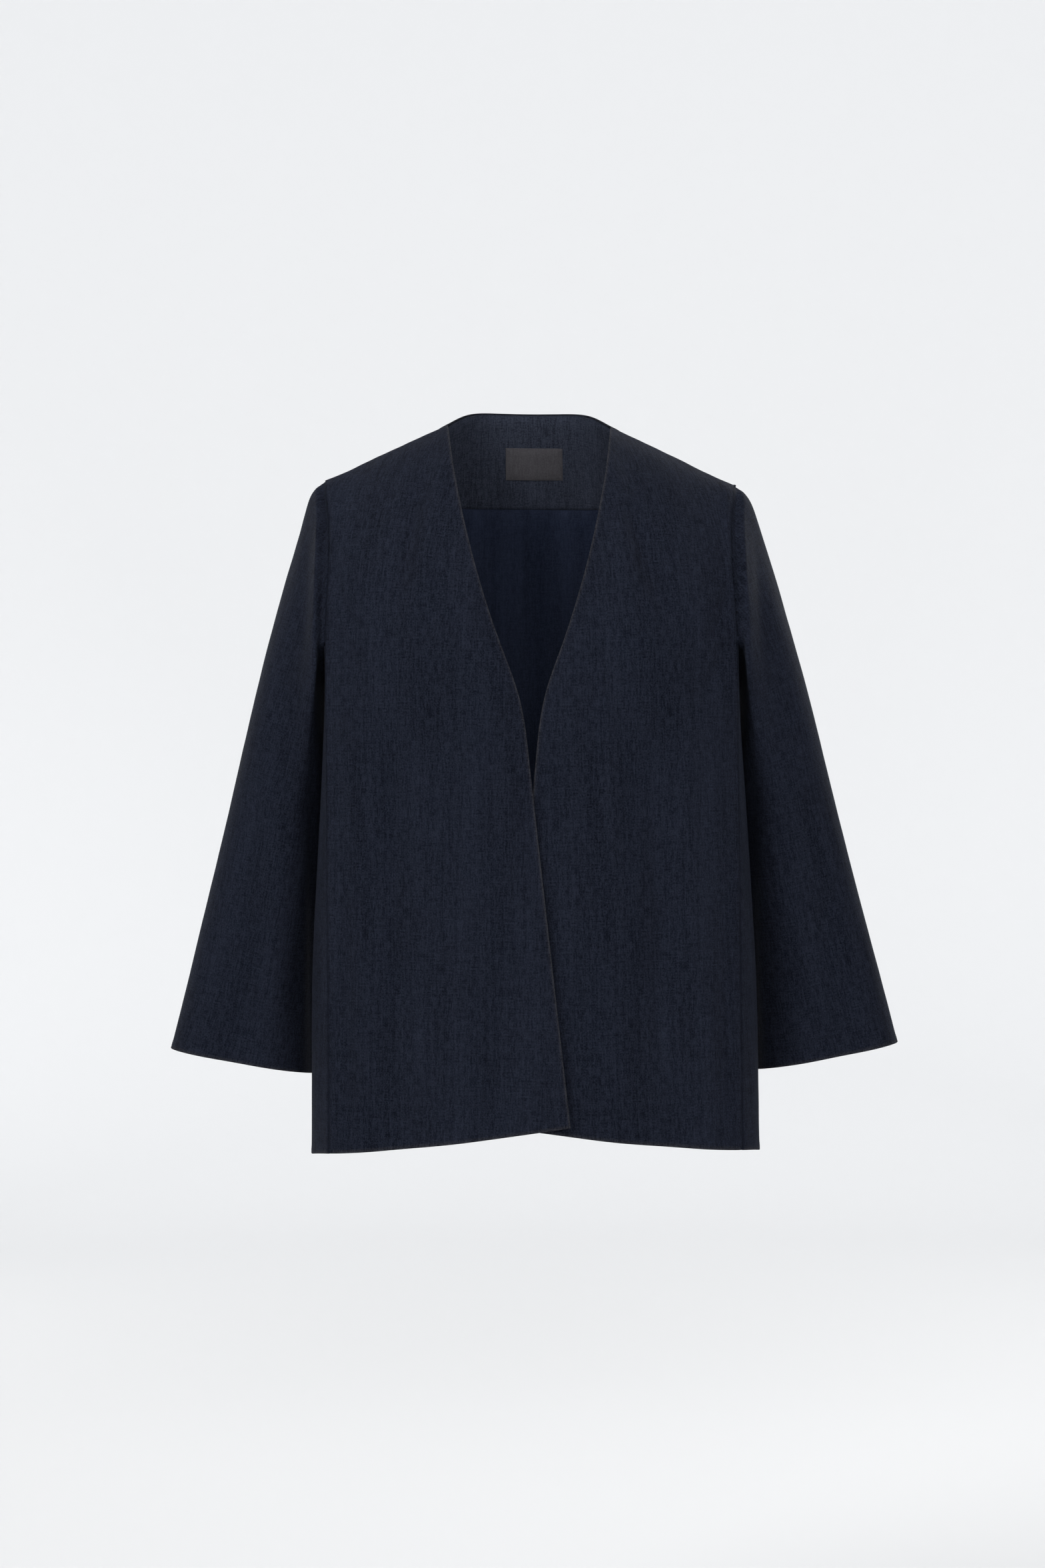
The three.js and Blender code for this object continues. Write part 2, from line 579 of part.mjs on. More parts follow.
const LAYER_DEPTH = DENIM + LAYER_GAP;

function facingPlaces(back, upper) {
  const columns = (row) => row.slice(FACING_SIDE_COLUMN, row.length - FACING_SIDE_COLUMN);
  const places = placesOf(back, upper.slice(0, FACING_ROWS + 1).map(columns));
  const trimmed = trimTop(trimSides(places, PART_INSET), EDGE_INSET);
  return trimTop(trimmed.reverse(), PART_INSET).reverse();
}

// The lining: one grid below the facing, and one on each side of it that stops short of the shoulder.
function liningWall(back, upper, lower) {
  const betweenArmholes = (row) => row.slice(SIDE_COLUMNS, -SIDE_COLUMNS);
  const lowRows = lower.slice(1, LINING_ROWS + 1).map(betweenArmholes);
  const below = trimSides(placesOf(back, [...upper.slice(FACING_ROWS), ...lowRows]), EDGE_INSET);
  const above = trimSides(placesOf(back, upper.slice(1, FACING_ROWS)), EDGE_INSET);
  const beside = [...above, below[0]];
  const viewersLeft = beside.map((row) => row.slice(0, FACING_SIDE_COLUMN + 1));
  const viewersRight = beside.map((row) => row.slice(-FACING_SIDE_COLUMN - 1));
  return wallOf(layerSheet([viewersLeft, viewersRight, below]), LAYER_DEPTH, LAYER_DEPTH + THIN_CLOTH);
}

// The place on the facing at a distance from the middle and a height.
function placeOnFacing(places, x, z) {
  const middle = Math.floor(places[0].length / 2);
  const along = (row) => {
    let j = 1;
    while (j < row.length - 1 && row[j].point.x < x) j += 1;
    const [a, b] = [row[j - 1], row[j]];
    return mix(a, b, (x - a.point.x) / (b.point.x - a.point.x));
  };
  let i = 1;
  while (i < places.length - 1 && places[i][middle].point.z > z) i += 1;
  const [above, below] = [along(places[i - 1]), along(places[i])];
  return mix(above, below, (z - above.point.z) / (below.point.z - above.point.z));
}

function labelWall(facing) {
  const depth = LAYER_DEPTH + THIN_CLOTH + LAYER_GAP;
  const rows = [];
  for (let i = 0; i <= LABEL.rows; i += 1) {
    const z = LABEL.z + LABEL.height * (0.5 - i / LABEL.rows);
    const row = [];
    for (let j = 0; j <= LABEL.columns; j += 1) {
      row.push(placeOnFacing(facing, LABEL.x + LABEL.width * (j / LABEL.columns - 0.5), z));
    }
    rows.push(row);
  }
  return wallOf(layerSheet([rows]), depth, depth + THIN_CLOTH);
}

function meshOf(name, geometry, finish) {
  geometry.computeVertexNormals();
  const material = new THREE.MeshStandardMaterial({ metalness: 0, ...finish });
  const mesh = new THREE.Mesh(geometry, material);
  mesh.name = name;
  return mesh;
}

function makeJacket() {
  const lower = lowerBackGrid();
  const upper = upperBackGrid();
  const back = sheetOf([lower, upper]);
  const jacket = new THREE.Group();
  for (const side of [-1, 1]) {
    const grid = frontGrid(side);
    const sheet = sheetOf([side < 0 ? grid.map((row) => [...row].reverse()) : grid]);
    const front = { side, grid, sheet };
    sewSide(front, back, lower);
    sewShoulder(front, back, upper);
    const name = side < 0 ? "right" : "left";
    jacket.add(meshOf(`front_${name}`, wallOf(sheet, 0, DENIM), COLOURS.denim));
    const loop = armholeLoop(front, back, lower, upper);
    jacket.add(meshOf(`sleeve_${name}`, sleeveWall(side, loop), COLOURS.denim));
  }
  const facing = facingPlaces(back, upper);
  const facingWall = wallOf(layerSheet([facing]), LAYER_DEPTH, LAYER_DEPTH + THIN_CLOTH);
  jacket.add(meshOf("back", wallOf(back, 0, DENIM), COLOURS.denim));
  jacket.add(meshOf("back_neck_facing", facingWall, COLOURS.denim));
  jacket.add(meshOf("back_lining", liningWall(back, upper, lower), COLOURS.lining));
  jacket.add(meshOf("label", labelWall(facing), COLOURS.label));
  return jacket;
}

export default makeJacket();
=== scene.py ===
"""The looks of a collarless, open-front denim jacket that hangs filled out, with nobody in it.

Each cut piece is a thin shell of cloth on the form of its own solid. The skin that shows is copied,
laid out flat for its weave, smoothed, creased, given its thickness and then its finish.
Sizes are in metres. +X is the viewer's right, +Y points to the back and +Z points up.
"""

import heapq
import logging
import math
from dataclasses import dataclass, field, replace
from enum import Enum

import bmesh
import bpy
import numpy as np
from mathutils import Matrix, Vector, noise
from mathutils.bvhtree import BVHTree
from mathutils.kdtree import KDTree


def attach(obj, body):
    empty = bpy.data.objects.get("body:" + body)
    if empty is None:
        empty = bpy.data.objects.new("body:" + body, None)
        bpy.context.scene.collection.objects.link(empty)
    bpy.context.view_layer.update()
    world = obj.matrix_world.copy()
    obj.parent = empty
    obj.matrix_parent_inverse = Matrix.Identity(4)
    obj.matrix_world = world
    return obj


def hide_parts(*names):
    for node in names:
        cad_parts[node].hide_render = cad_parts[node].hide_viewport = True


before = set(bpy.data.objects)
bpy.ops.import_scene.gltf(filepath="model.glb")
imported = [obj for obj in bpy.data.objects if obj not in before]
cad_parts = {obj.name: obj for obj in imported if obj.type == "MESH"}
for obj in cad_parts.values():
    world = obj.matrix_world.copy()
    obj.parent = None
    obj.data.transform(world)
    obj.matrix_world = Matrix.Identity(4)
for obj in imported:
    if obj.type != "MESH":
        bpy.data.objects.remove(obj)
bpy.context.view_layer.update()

LOG = logging.getLogger("denim_jacket")
BODY = "root"
MM = 0.001

UV_NAME = "flat_pattern"
EDGE_ATTRIBUTE = "turned_edge"
SEAM_ATTRIBUTE = "seam"

MERGE_DISTANCE = 0.01 * MM
SKIN_ANGLE = math.radians(50)
QUAD_ANGLE = math.radians(75)
SEWN_WITHIN = 3.5 * MM
SEAM_SHARE = 0.52
SEAM_REACH = 9 * MM
SHOULDER_TILT = -0.02
TIP_PLACE = (0.199, -0.004, -0.066)
TIP_RADII = (0.022, 0.045, 0.022)
TIP_MOVE = (0.003, 0.0, 0.002)
SHOULDER_ZONE = (-0.26, -0.10)

CREASE_FULL = (0.32, 0.68)
CREASE_FACING = (-0.05, 0.5)
RIPPLE_SIZE = (0.011, 0.026)
PUCKER_SIZE = (0.012, 0.015)
PUCKER_REACH = 0.009
GROOVE_WIDTH = 0.0022
LIFT_REACH = 0.02
ROLL_ENDS = (0.004, 0.010)
ROUND_SHARE = 0.42
ROUND_STEPS = 2
ROUND_ANGLE = math.radians(55)
EDGE_MARK = 1.6 * MM
SEAM_MARK = 1.4 * MM


class Skin(Enum):
    """Which face of a wall of cloth shows."""

    OUTER = 1
    INNER = -1


class SeenFrom(Enum):
    """The side from which a crease is seen, as the sign of its surface's normal along Y."""

    FRONT = -1
    BACK = 1


class Side(Enum):
    """The wearer's side that a piece lies on, as the sign of its places along X."""

    RIGHT = -1
    MIDDLE = 0
    LEFT = 1


@dataclass(frozen=True)
class Crease:
    """A soft trough or ridge along a line that is seen from the front or the back.

    start and end are (x, z) in millimetres, and depth is below 0 for a trough. bow bends the line
    sideways at its middle, and crispness below 2 pinches its crest.
    """

    start: tuple[float, float]
    end: tuple[float, float]
    width: float
    depth: float
    bow: float = 0.0
    crispness: float = 2.0
    seen_from: SeenFrom = SeenFrom.FRONT

    def mirrored(self) -> "Crease":
        """The same crease on the other half of the jacket."""
        start = (-self.start[0], self.start[1])
        end = (-self.end[0], self.end[1])
        return replace(self, start=start, end=end, bow=-self.bow)

    def heights(self, points: np.ndarray, normals: np.ndarray) -> np.ndarray:
        """Height of the crease at each point, in metres.

        Args:
            points: places, one row each.
            normals: the surface's normals there.

        Returns:
            The heights, along the normals.
        """
        start = np.array(self.start) * MM
        along = np.array(self.end) * MM - start
        length = float(np.hypot(*along))
        along /= length
        out = points[:, [0, 2]] - start
        share = out @ along / length
        across = out @ np.array([along[1], -along[0]])
        across = across - self.bow * MM * 4 * share * (1 - share)
        shape = np.exp(-(np.abs(across / (self.width * MM)) ** self.crispness))
        full_from, full_to = CREASE_FULL
        ends = smooth_step(0.0, full_from, share) * (1 - smooth_step(full_to, 1.0, share))
        facing = smooth_step(*CREASE_FACING, self.seen_from.value * normals[:, 1])
        return self.depth * MM * shape * ends * facing


@dataclass(frozen=True)
class Swell:
    """A soft fullness round one place; centre and radii are in millimetres, and height too."""

    centre: tuple[float, float, float]
    radii: tuple[float, float, float]
    height: float

    def mirrored(self) -> "Swell":
        """The same fullness on the other half of the jacket."""
        return replace(self, centre=(-self.centre[0], self.centre[1], self.centre[2]))

    def heights(self, points: np.ndarray) -> np.ndarray:
        """Height of the fullness at each point, in metres."""
        out = (points - np.array(self.centre) * MM) / (np.array(self.radii) * MM)
        return self.height * MM * np.exp(-np.sum(out * out, axis=1))


def smooth_step(low: float, high: float, values: np.ndarray) -> np.ndarray:
    """0 below low and 1 above high, with a smooth rise between them."""
    share = np.clip((values - low) / (high - low), 0.0, 1.0)
    return share * share * (3 - 2 * share)


class NodeBuilder:
    """Adds nodes to one shader node tree and joins them."""

    NOISE_ROUGHNESS = 0.6

    def __init__(self, tree: bpy.types.NodeTree) -> None:
        """Keeps the tree that the nodes go into."""
        self.tree = tree

    def add(self, kind: str, inputs: dict | None = None, **settings: object) -> bpy.types.Node:
        """Adds a node.

        Args:
            kind: the node's type name.
            inputs: for each input's name or number, its value or the socket that feeds it.
            settings: attributes that are set on the node.

        Returns:
            The node.
        """
        node = self.tree.nodes.new(kind)
        for name, value in settings.items():
            setattr(node, name, value)
        for name, value in (inputs or {}).items():
            socket = node.inputs[name]
            if isinstance(value, bpy.types.NodeSocket):
                self.tree.links.new(value, socket)
            else:
                socket.default_value = value
        return node

    def math(self, operation: str, *values: object) -> bpy.types.NodeSocket:
        """A Math node on numbers or sockets; gives its result."""
        inputs = dict(enumerate(values))
        return self.add("ShaderNodeMath", inputs, operation=operation).outputs[0]

    def mix(self, share: object, low: object, high: object) -> bpy.types.NodeSocket:
        """A colour between two colours; gives its result."""
        inputs = {0: share, 6: low, 7: high}
        return self.add("ShaderNodeMix", inputs, data_type="RGBA").outputs[2]

    def scaled(self, vector: bpy.types.NodeSocket, scale: tuple) -> bpy.types.NodeSocket:
        """A vector times a constant one; gives its result."""
        inputs = {0: vector, 1: scale}
        return self.add("ShaderNodeVectorMath", inputs, operation="MULTIPLY").outputs[0]

    def noise(self, vector: bpy.types.NodeSocket, detail: float) -> bpy.types.NodeSocket:
        """Plain noise on a vector that is already scaled; gives its factor."""
        inputs = {"Vector": vector, "Scale": 1.0, "Detail": detail, "Roughness": self.NOISE_ROUGHNESS}
        return self.add("ShaderNodeTexNoise", inputs).outputs[0]

    def stretch(self, value: bpy.types.NodeSocket, low: float, high: float) -> bpy.types.NodeSocket:
        """How far a number lies from low to high, kept from 0 to 1; gives its result."""
        inputs = {"Value": value, "From Min": low, "From Max": high}
        return self.add("ShaderNodeMapRange", inputs).outputs[0]


class ClothGroups:
    """The shader node groups that the jacket's cloths share, each built once.

    Scales are in cycles a metre across the warp and along it. A yarn layer is its scale, its detail
    and its weight.
    """

    WANDER_SCALE = (340.0, 170.0, 1.0)
    WANDER = 26.0
    YARNS_A_WALE = 1.9
    CROSS_SHARE = 0.25
    WEAVE_HEIGHT = 0.33
    YARN_LAYERS = (
        ((640.0, 95.0, 1.0), 2.0, 0.34),
        ((260.0, 9.0, 1.0), 2.0, 0.15),
        ((70.0, 560.0, 1.0), 1.0, 0.14),
        ((760.0, 620.0, 1.0), 1.0, 0.37),
    )
    STREAK_RANGE = (0.415, 0.585)
    CLOUD_SCALE = (24.0, 7.0, 1.0)
    CLOUD_RANGE = (0.3, 0.7)

    def __init__(self) -> None:
        """Builds both groups."""
        self.twill = self._twill()
        self.slub = self._slub()

    @staticmethod
    def _start(name: str, inputs: dict[str, str], outputs: dict[str, str]) -> tuple:
        """A new group with its sockets.

        Args:
            name: the group's name.
            inputs: socket type by name.
            outputs: socket type by name.

        Returns:
            The group, a builder for it, its input node's outputs and its output node.
        """
        group = bpy.data.node_groups.new(name, "ShaderNodeTree")
        for label, kind in inputs.items():
            group.interface.new_socket(label, in_out="INPUT", socket_type=kind)
        for label, kind in outputs.items():
            group.interface.new_socket(label, in_out="OUTPUT", socket_type=kind)
        build = NodeBuilder(group)
        source = build.add("NodeGroupInput").outputs
        return group, build, source, build.add("NodeGroupOutput")

    def _twill(self) -> bpy.types.NodeTree:
        """Slanting wales crossed by the weft: height and thread mask from a flat place in metres."""
        group, build, source, out = self._start(
            "twill_weave",
            {"Place": "NodeSocketVector", "Pitch": "NodeSocketFloat", "Slant": "NodeSocketFloat"},
            {"Height": "NodeSocketFloat", "Thread": "NodeSocketFloat"},
        )
        split = build.add("ShaderNodeSeparateXYZ", {0: source["Place"]}).outputs
        turns = build.math("DIVIDE", 2 * math.pi, source["Pitch"])
        climb = build.math("MULTIPLY", split[1], source["Slant"])
        wander = build.noise(build.scaled(source["Place"], self.WANDER_SCALE), 2.0)
        drift = build.math("MULTIPLY", wander, self.WANDER)
        slanted = build.math("MULTIPLY", build.math("ADD", split[0], climb), turns)
        wale = build.math("SINE", build.math("ADD", slanted, drift))
        yarns = build.math("MULTIPLY", turns, self.YARNS_A_WALE)
        weft = build.math("SINE", build.math("MULTIPLY", split[1], yarns))
        warp = build.math("SINE", build.math("MULTIPLY", split[0], yarns))
        cross = build.math("MULTIPLY", build.math("ADD", weft, warp), self.CROSS_SHARE)
        weave = build.math("MULTIPLY", build.math("ADD", wale, cross), self.WEAVE_HEIGHT)
        build.tree.links.new(build.math("ADD", weave, 0.5), out.inputs["Height"])
        thread = build.math("ADD", build.math("MULTIPLY", wale, 0.5), 0.5)
        build.tree.links.new(thread, out.inputs["Thread"])
        return group

    def _slub(self) -> bpy.types.NodeTree:
        """Uneven yarns: long thin streaks along the warp, fainter ones along the weft, and mottling."""
        group, build, source, out = self._start(
            "yarn_slub",
            {"Place": "NodeSocketVector"},
            {"Streak": "NodeSocketFloat", "Cloud": "NodeSocketFloat"},
        )
        place = source["Place"]
        total: bpy.types.NodeSocket | None = None
        for scale, detail, weight in self.YARN_LAYERS:
            part = build.math("MULTIPLY", build.noise(build.scaled(place, scale), detail), weight)
            total = part if total is None else build.math("ADD", total, part)
        build.tree.links.new(build.stretch(total, *self.STREAK_RANGE), out.inputs["Streak"])
        tall = build.noise(build.scaled(place, self.CLOUD_SCALE), 3.0)
        build.tree.links.new(build.stretch(tall, *self.CLOUD_RANGE), out.inputs["Cloud"])
        return group


@dataclass(frozen=True)
class WovenFinish:
    """A woven cloth: its two yarn colours, its weave and how it takes the light.

    banding is the strength of its upright bands, and band_pitch how many there are in a metre.
    edge is the colour painted along its turned edges: a painted highlight on the denim, and a
    darker rim on the label.
    """

    THREAD_SHARE = 0.12
    STREAK_SHARE = 0.68
    CLOUD_SHARE = 0.2
    BAND_DRIFT = 1.1
    # The next two set the painted highlight along turned edges.
    EDGE_LIGHT_FLOOR = 0.35
    EDGE_PAINTED_LIGHT = 0.6
    # How much painted shade darkens the cloth along its seams.
    SEAM_SHADE = 0.5
    STREAK_HEIGHT = 0.6
    BUMP_STRENGTH = 0.7
    ROUGHNESS_SPREAD = 0.12
    SHEEN_ROUGHNESS = 0.45

    name: str
    slot: str
    deep: tuple[float, float, float]
    light: tuple[float, float, float]
    edge: tuple[float, float, float]
    pitch: float
    slant: float
    relief: float
    roughness: float
    specular: float
    sheen: float
    sheen_tint: tuple[float, float, float]
    banding: float = 0.25
    band_pitch: float = 30.0

    def material(self, groups: ClothGroups) -> bpy.types.Material:
        """Builds the procedural material.

        Args:
            groups: the node groups that the cloths share.

        Returns:
            The material.
        """
        material = bpy.data.materials.new(self.name)
        material.use_nodes = True
        material.node_tree.nodes.clear()
        build = NodeBuilder(material.node_tree)
        place = build.add("ShaderNodeUVMap", uv_map=UV_NAME).outputs[0]
        twill = build.add("ShaderNodeGroup", node_tree=groups.twill)
        build.tree.links.new(place, twill.inputs["Place"])
        twill.inputs["Pitch"].default_value = self.pitch
        twill.inputs["Slant"].default_value = self.slant
        slub = build.add("ShaderNodeGroup", node_tree=groups.slub)
        build.tree.links.new(place, slub.inputs["Place"])
        threads = build.math("MULTIPLY", twill.outputs["Thread"], self.THREAD_SHARE)
        streaks = build.math("MULTIPLY", slub.outputs["Streak"], self.STREAK_SHARE)
        clouds = build.math("MULTIPLY", slub.outputs["Cloud"], self.CLOUD_SHARE)
        tall = build.noise(build.scaled(place, (self.band_pitch, self.BAND_DRIFT, 1.0)), 1.0)
        bands = build.math("MULTIPLY", build.math("SUBTRACT", tall, 0.5), self.banding)
        share = build.math("ADD", build.math("ADD", threads, streaks), build.math("ADD", clouds, bands))
        yarns = build.mix(share, (*self.deep, 1), (*self.light, 1))
        # Painted highlight along the turned edges: the edge colour is mixed in, broken up by the yarn
        # streaks.
        edge = build.add("ShaderNodeAttribute", attribute_name=EDGE_ATTRIBUTE).outputs["Fac"]
        painted_edge_light = build.math("MULTIPLY", edge, build.math("ADD", slub.outputs["Streak"], self.EDGE_LIGHT_FLOOR))
        # Painted shade along the seams: near each seam the colour darkens towards the deep yarn colour.
        seam = build.add("ShaderNodeAttribute", attribute_name=SEAM_ATTRIBUTE).outputs["Fac"]
        edged = build.mix(build.math("MULTIPLY", painted_edge_light, self.EDGE_PAINTED_LIGHT), yarns, (*self.edge, 1))
        color = build.mix(build.math("MULTIPLY", seam, self.SEAM_SHADE), edged, (*self.deep, 1))
        raised = build.math("MULTIPLY", slub.outputs["Streak"], self.STREAK_HEIGHT)
        height = build.math("ADD", twill.outputs["Height"], raised)
        bump = build.add(
            "ShaderNodeBump",
            {"Strength": self.BUMP_STRENGTH, "Distance": self.relief, "Height": height},
        )
        uneven = build.math("MULTIPLY", slub.outputs["Cloud"], self.ROUGHNESS_SPREAD)
        rough = build.math("ADD", uneven, self.roughness - 0.5 * self.ROUGHNESS_SPREAD)
        cloth = build.add(
            "ShaderNodeBsdfPrincipled",
            {
                "Base Color": color,
                "Roughness": rough,
                "Specular IOR Level": self.specular,
                "Sheen Weight": self.sheen,
                "Sheen Roughness": self.SHEEN_ROUGHNESS,
                "Sheen Tint": (*self.sheen_tint, 1),
                "Normal": bump.outputs[0],
            },
        )
        build.add("ShaderNodeOutputMaterial", {"Surface": cloth.outputs[0]})
        return material


DENIM = WovenFinish(
    name="indigo_denim",
    slot="denim",
    deep=(0.0006, 0.0012, 0.0034),
    light=(0.0130, 0.0158, 0.0256),
    # The lighter colour of the painted highlight along turned edges.
    edge=(0.029, 0.028, 0.030),
    pitch=0.9 * MM,
    slant=0.62,
    relief=0.16 * MM,
    roughness=0.92,
    specular=0.05,
    sheen=0.008,
    sheen_tint=(0.62, 0.7, 0.9),
)
# The same denim with lighter yarn colours: painted light for the facing, which sits in shade inside the
# back neck.
FACING_DENIM_PAINTED_LIGHT = replace(
    DENIM,
    name="indigo_denim_facing",
    deep=(0.0075, 0.0092, 0.0150),
    light=(0.0330, 0.0385, 0.0560),
)
LINING = WovenFinish(
    name="navy_lining",
    slot="lining",
    deep=(0.0056, 0.0088, 0.0195),
    light=(0.0158, 0.0215, 0.0415),
    edge=(0.012, 0.016, 0.030),
    pitch=0.45 * MM,
    slant=1.0,
    relief=0.05 * MM,
    roughness=0.72,
    specular=0.07,
    sheen=0.006,
    sheen_tint=(0.5, 0.6, 0.9),
    banding=1.5,
    band_pitch=44.0,
)
LABEL_TAPE = WovenFinish(
    name="woven_label",
    slot="label",
    deep=(0.035, 0.033, 0.037),
    light=(0.056, 0.054, 0.059),
    # The darker colour painted round the label's rim.
    edge=(0.014, 0.012, 0.015),
    pitch=0.5 * MM,
    slant=0.0,
    relief=0.05 * MM,
    roughness=0.8,
    specular=0.08,
    sheen=0.0,
    sheen_tint=(1.0, 1.0, 1.0),
)


@dataclass
class ClothPiece:
    """One cut piece of cloth, made as a shell on the form of its solid.

    solid and sewn name its own solid and those of the pieces that it is sewn to, with {side} for
    its side. base is the piece that it lies on, whose relief it follows.
    """

    solid: str = ""
    sewn: tuple[str, ...] = ()
    side: Side = Side.MIDDLE
    finish: WovenFinish = DENIM
    skin: Skin = Skin.OUTER
    flat: tuple[float, float] = (0.3, 0.7)
    area: float = 0.2
    axis_top: tuple[float, float, float] = (0.0, 0.0, 0.0)
    axis_foot: tuple[float, float, float] = (0.0, 0.0, -0.7)
    thickness: float = 1.2 * MM
    levels: int = 3
    drape: float = 0.9 * MM
    drape_size: tuple[float, float] = (0.07, 0.17)
    ripple: float = 0.14 * MM
    pucker: float = 0.35 * MM
    seam_depth: float = 0.5 * MM
    edge_roll: float = 0.35 * MM
    lift: float = 0.0
    seam_hold: float = 9 * MM
    is_tube: bool = False
    base: "ClothPiece | None" = None
    obj: bpy.types.Object = field(init=False, repr=False)
    sewn_verts: list[int] = field(init=False, repr=False, default_factory=list)
    free_verts: list[int] = field(init=False, repr=False, default_factory=list)
    sewn_rim: list[Vector] = field(init=False, repr=False, default_factory=list)
    free_rim: list[Vector] = field(init=False, repr=False, default_factory=list)
    pressed_seam: list[Vector] = field(init=False, repr=False, default_factory=list)
    pressed_edge: list[Vector] = field(init=False, repr=False, default_factory=list)

    def node(self) -> str:
        """The name of the solid that the piece stands for."""
        return self.solid.format(side=self.side.name.lower())

    def sewn_to(self) -> list[str]:
        """The solids of the pieces that it is sewn to."""
        return [name.format(side=self.side.name.lower()) for name in self.sewn]

    def creases(self) -> list[Crease]:
        """The creases that are pressed into it."""
        return []

    def swells(self) -> list[Swell]:
        """The places where it stands fuller than its solid."""
        return []

    def shape(self) -> None:
        """Makes the piece's skin on its solid, laid out flat, smoothed and pressed into its folds."""
        self._take_skin()
        self._lay_flat()
        self._smooth()
        self._sort_rim()
        self._press()

    def join(self, skins: dict[str, BVHTree]) -> None:
        """Closes the seams that the folds drew apart, and makes the skin a finished shell.

        Args:
            skins: the pressed skins of the pieces that show the same face of their cloth, by node.
        """
        names = [name for name in self.sewn_to() if name in skins]
        if self.base:
            names = [name for name in names if name != self.base.node()]
        pulls = []
        for place in self.pressed_seam:
            nearest = nearest_on([skins[name] for name in names], place) or place
            pulls.append((nearest - place) * SEAM_SHARE)
        self.pressed_seam = self._close_seams(self.pressed_seam, pulls)
        self._thicken()
        self._mark_edges()

    def dress(self, groups: ClothGroups, materials: dict[str, bpy.types.Material]) -> None:
        """Gives the piece its finish, hangs it on the body and hides the solid that it stands for.

        Args:
            groups: the node groups that the cloths share.
            materials: the materials made so far, by name; a new one is added.
        """
        if self.finish.name not in materials:
            materials[self.finish.name] = self.finish.material(groups)
        self.obj.data.materials.clear()
        self.obj.data.materials.append(materials[self.finish.name])
        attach(self.obj, BODY)
        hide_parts(self.node())

    def _take_skin(self) -> None:
        """Copies the skin that shows from the solid, merged and back in quads."""
        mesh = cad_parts[self.node()].data.copy()
        form = bmesh.new()
        form.from_mesh(mesh)
        bmesh.ops.remove_doubles(form, verts=form.verts, dist=MERGE_DISTANCE)
        wanted = self._pick_region(form)
        others = [f for f in form.faces if f not in wanted]
        bmesh.ops.delete(form, geom=others, context="FACES")
        bmesh.ops.join_triangles(
            form,
            faces=form.faces,
            angle_face_threshold=QUAD_ANGLE,
            angle_shape_threshold=QUAD_ANGLE,
        )
        for face in form.faces:
            face.smooth = True
        form.to_mesh(mesh)
        form.free()
        mesh.materials.clear()
        while mesh.uv_layers:
            mesh.uv_layers.remove(mesh.uv_layers[0])
        self.obj = bpy.data.objects.new(f"cloth_{self.node()}", mesh)
        bpy.context.scene.collection.objects.link(self.obj)

    def _pick_region(self, form: bmesh.types.BMesh) -> set:
        """The faces of the skin that shows.

        Args:
            form: the merged solid.

        Returns:
            The faces of its outer or inner skin.
        """
        left = set(form.faces)
        regions = []
        while left:
            region = set()
            front = [left.pop()]
            while front:
                face = front.pop()
                region.add(face)
                for edge in face.edges:
                    if edge.calc_face_angle(math.pi) > SKIN_ANGLE:
                        continue
                    for other in edge.link_faces:
                        if other in left:
                            left.remove(other)
                            front.append(other)
            regions.append(region)
        regions.sort(key=lambda faces: -sum(f.calc_area() for f in faces))
        return max(regions[:2], key=lambda faces: self.skin.value * self._outwardness(faces))

    def _outwardness(self, faces: set) -> float:
        """How far a skin's faces point away from the axis of the hollow that they surround."""
        top = Vector(self.axis_top)
        along = (Vector(self.axis_foot) - top).normalized()
        total = 0.0
        for face in faces:
            out = face.calc_center_median() - top
            out -= along * out.dot(along)
            total += face.calc_area() * out.normalized().dot(face.normal)
        return total

    def _lay_flat(self) -> None:
        """Unwraps the skin to its flat pattern, in metres, with its length upright."""
        bpy.ops.object.select_all(action="DESELECT")
        bpy.context.view_layer.objects.active = self.obj
        self.obj.select_set(True)
        if self.is_tube:
            self._mark_under_seam()
        self.obj.data.uv_layers.new(name=UV_NAME)
        bpy.ops.object.mode_set(mode="EDIT")
        bpy.ops.mesh.select_all(action="SELECT")
        bpy.ops.uv.unwrap(method="ANGLE_BASED", margin=0.0)
        bpy.ops.object.mode_set(mode="OBJECT")
        self._true_up_pattern()

    def _mark_under_seam(self) -> None:
        """Marks the seam that lets a sleeve open out flat: the shortest way along its underside."""
        form = bmesh.new()
        form.from_mesh(self.obj.data)
        top = Vector(self.axis_top)
        axis = Vector(self.axis_foot) - top
        rim = [v for v in form.verts if v.is_boundary and len(v.link_edges) > 2]
        upper = [v for v in rim if (v.co - top).dot(axis) < 0.5 * axis.length_squared]
        lower = [v for v in rim if v not in upper]
        underarm = min(upper, key=lambda v: v.co.z)
        cuff = min(lower, key=lambda v: abs(v.co.x))
        reached = {underarm: 0.0}
        came_by = {}
        queue = [(0.0, underarm.index, underarm)]
        while queue:
            length, _, vert = heapq.heappop(queue)
            for edge in vert.link_edges:
                other = edge.other_vert(vert)
                total = length + edge.calc_length()
                if not edge.is_boundary and total < reached.get(other, math.inf):
                    reached[other] = total
                    came_by[other] = edge
                    heapq.heappush(queue, (total, other.index, other))
        vert = cuff
        while vert is not underarm:
            came_by[vert].seam = True
            vert = came_by[vert].other_vert(vert)
        form.to_mesh(self.obj.data)
        form.free()

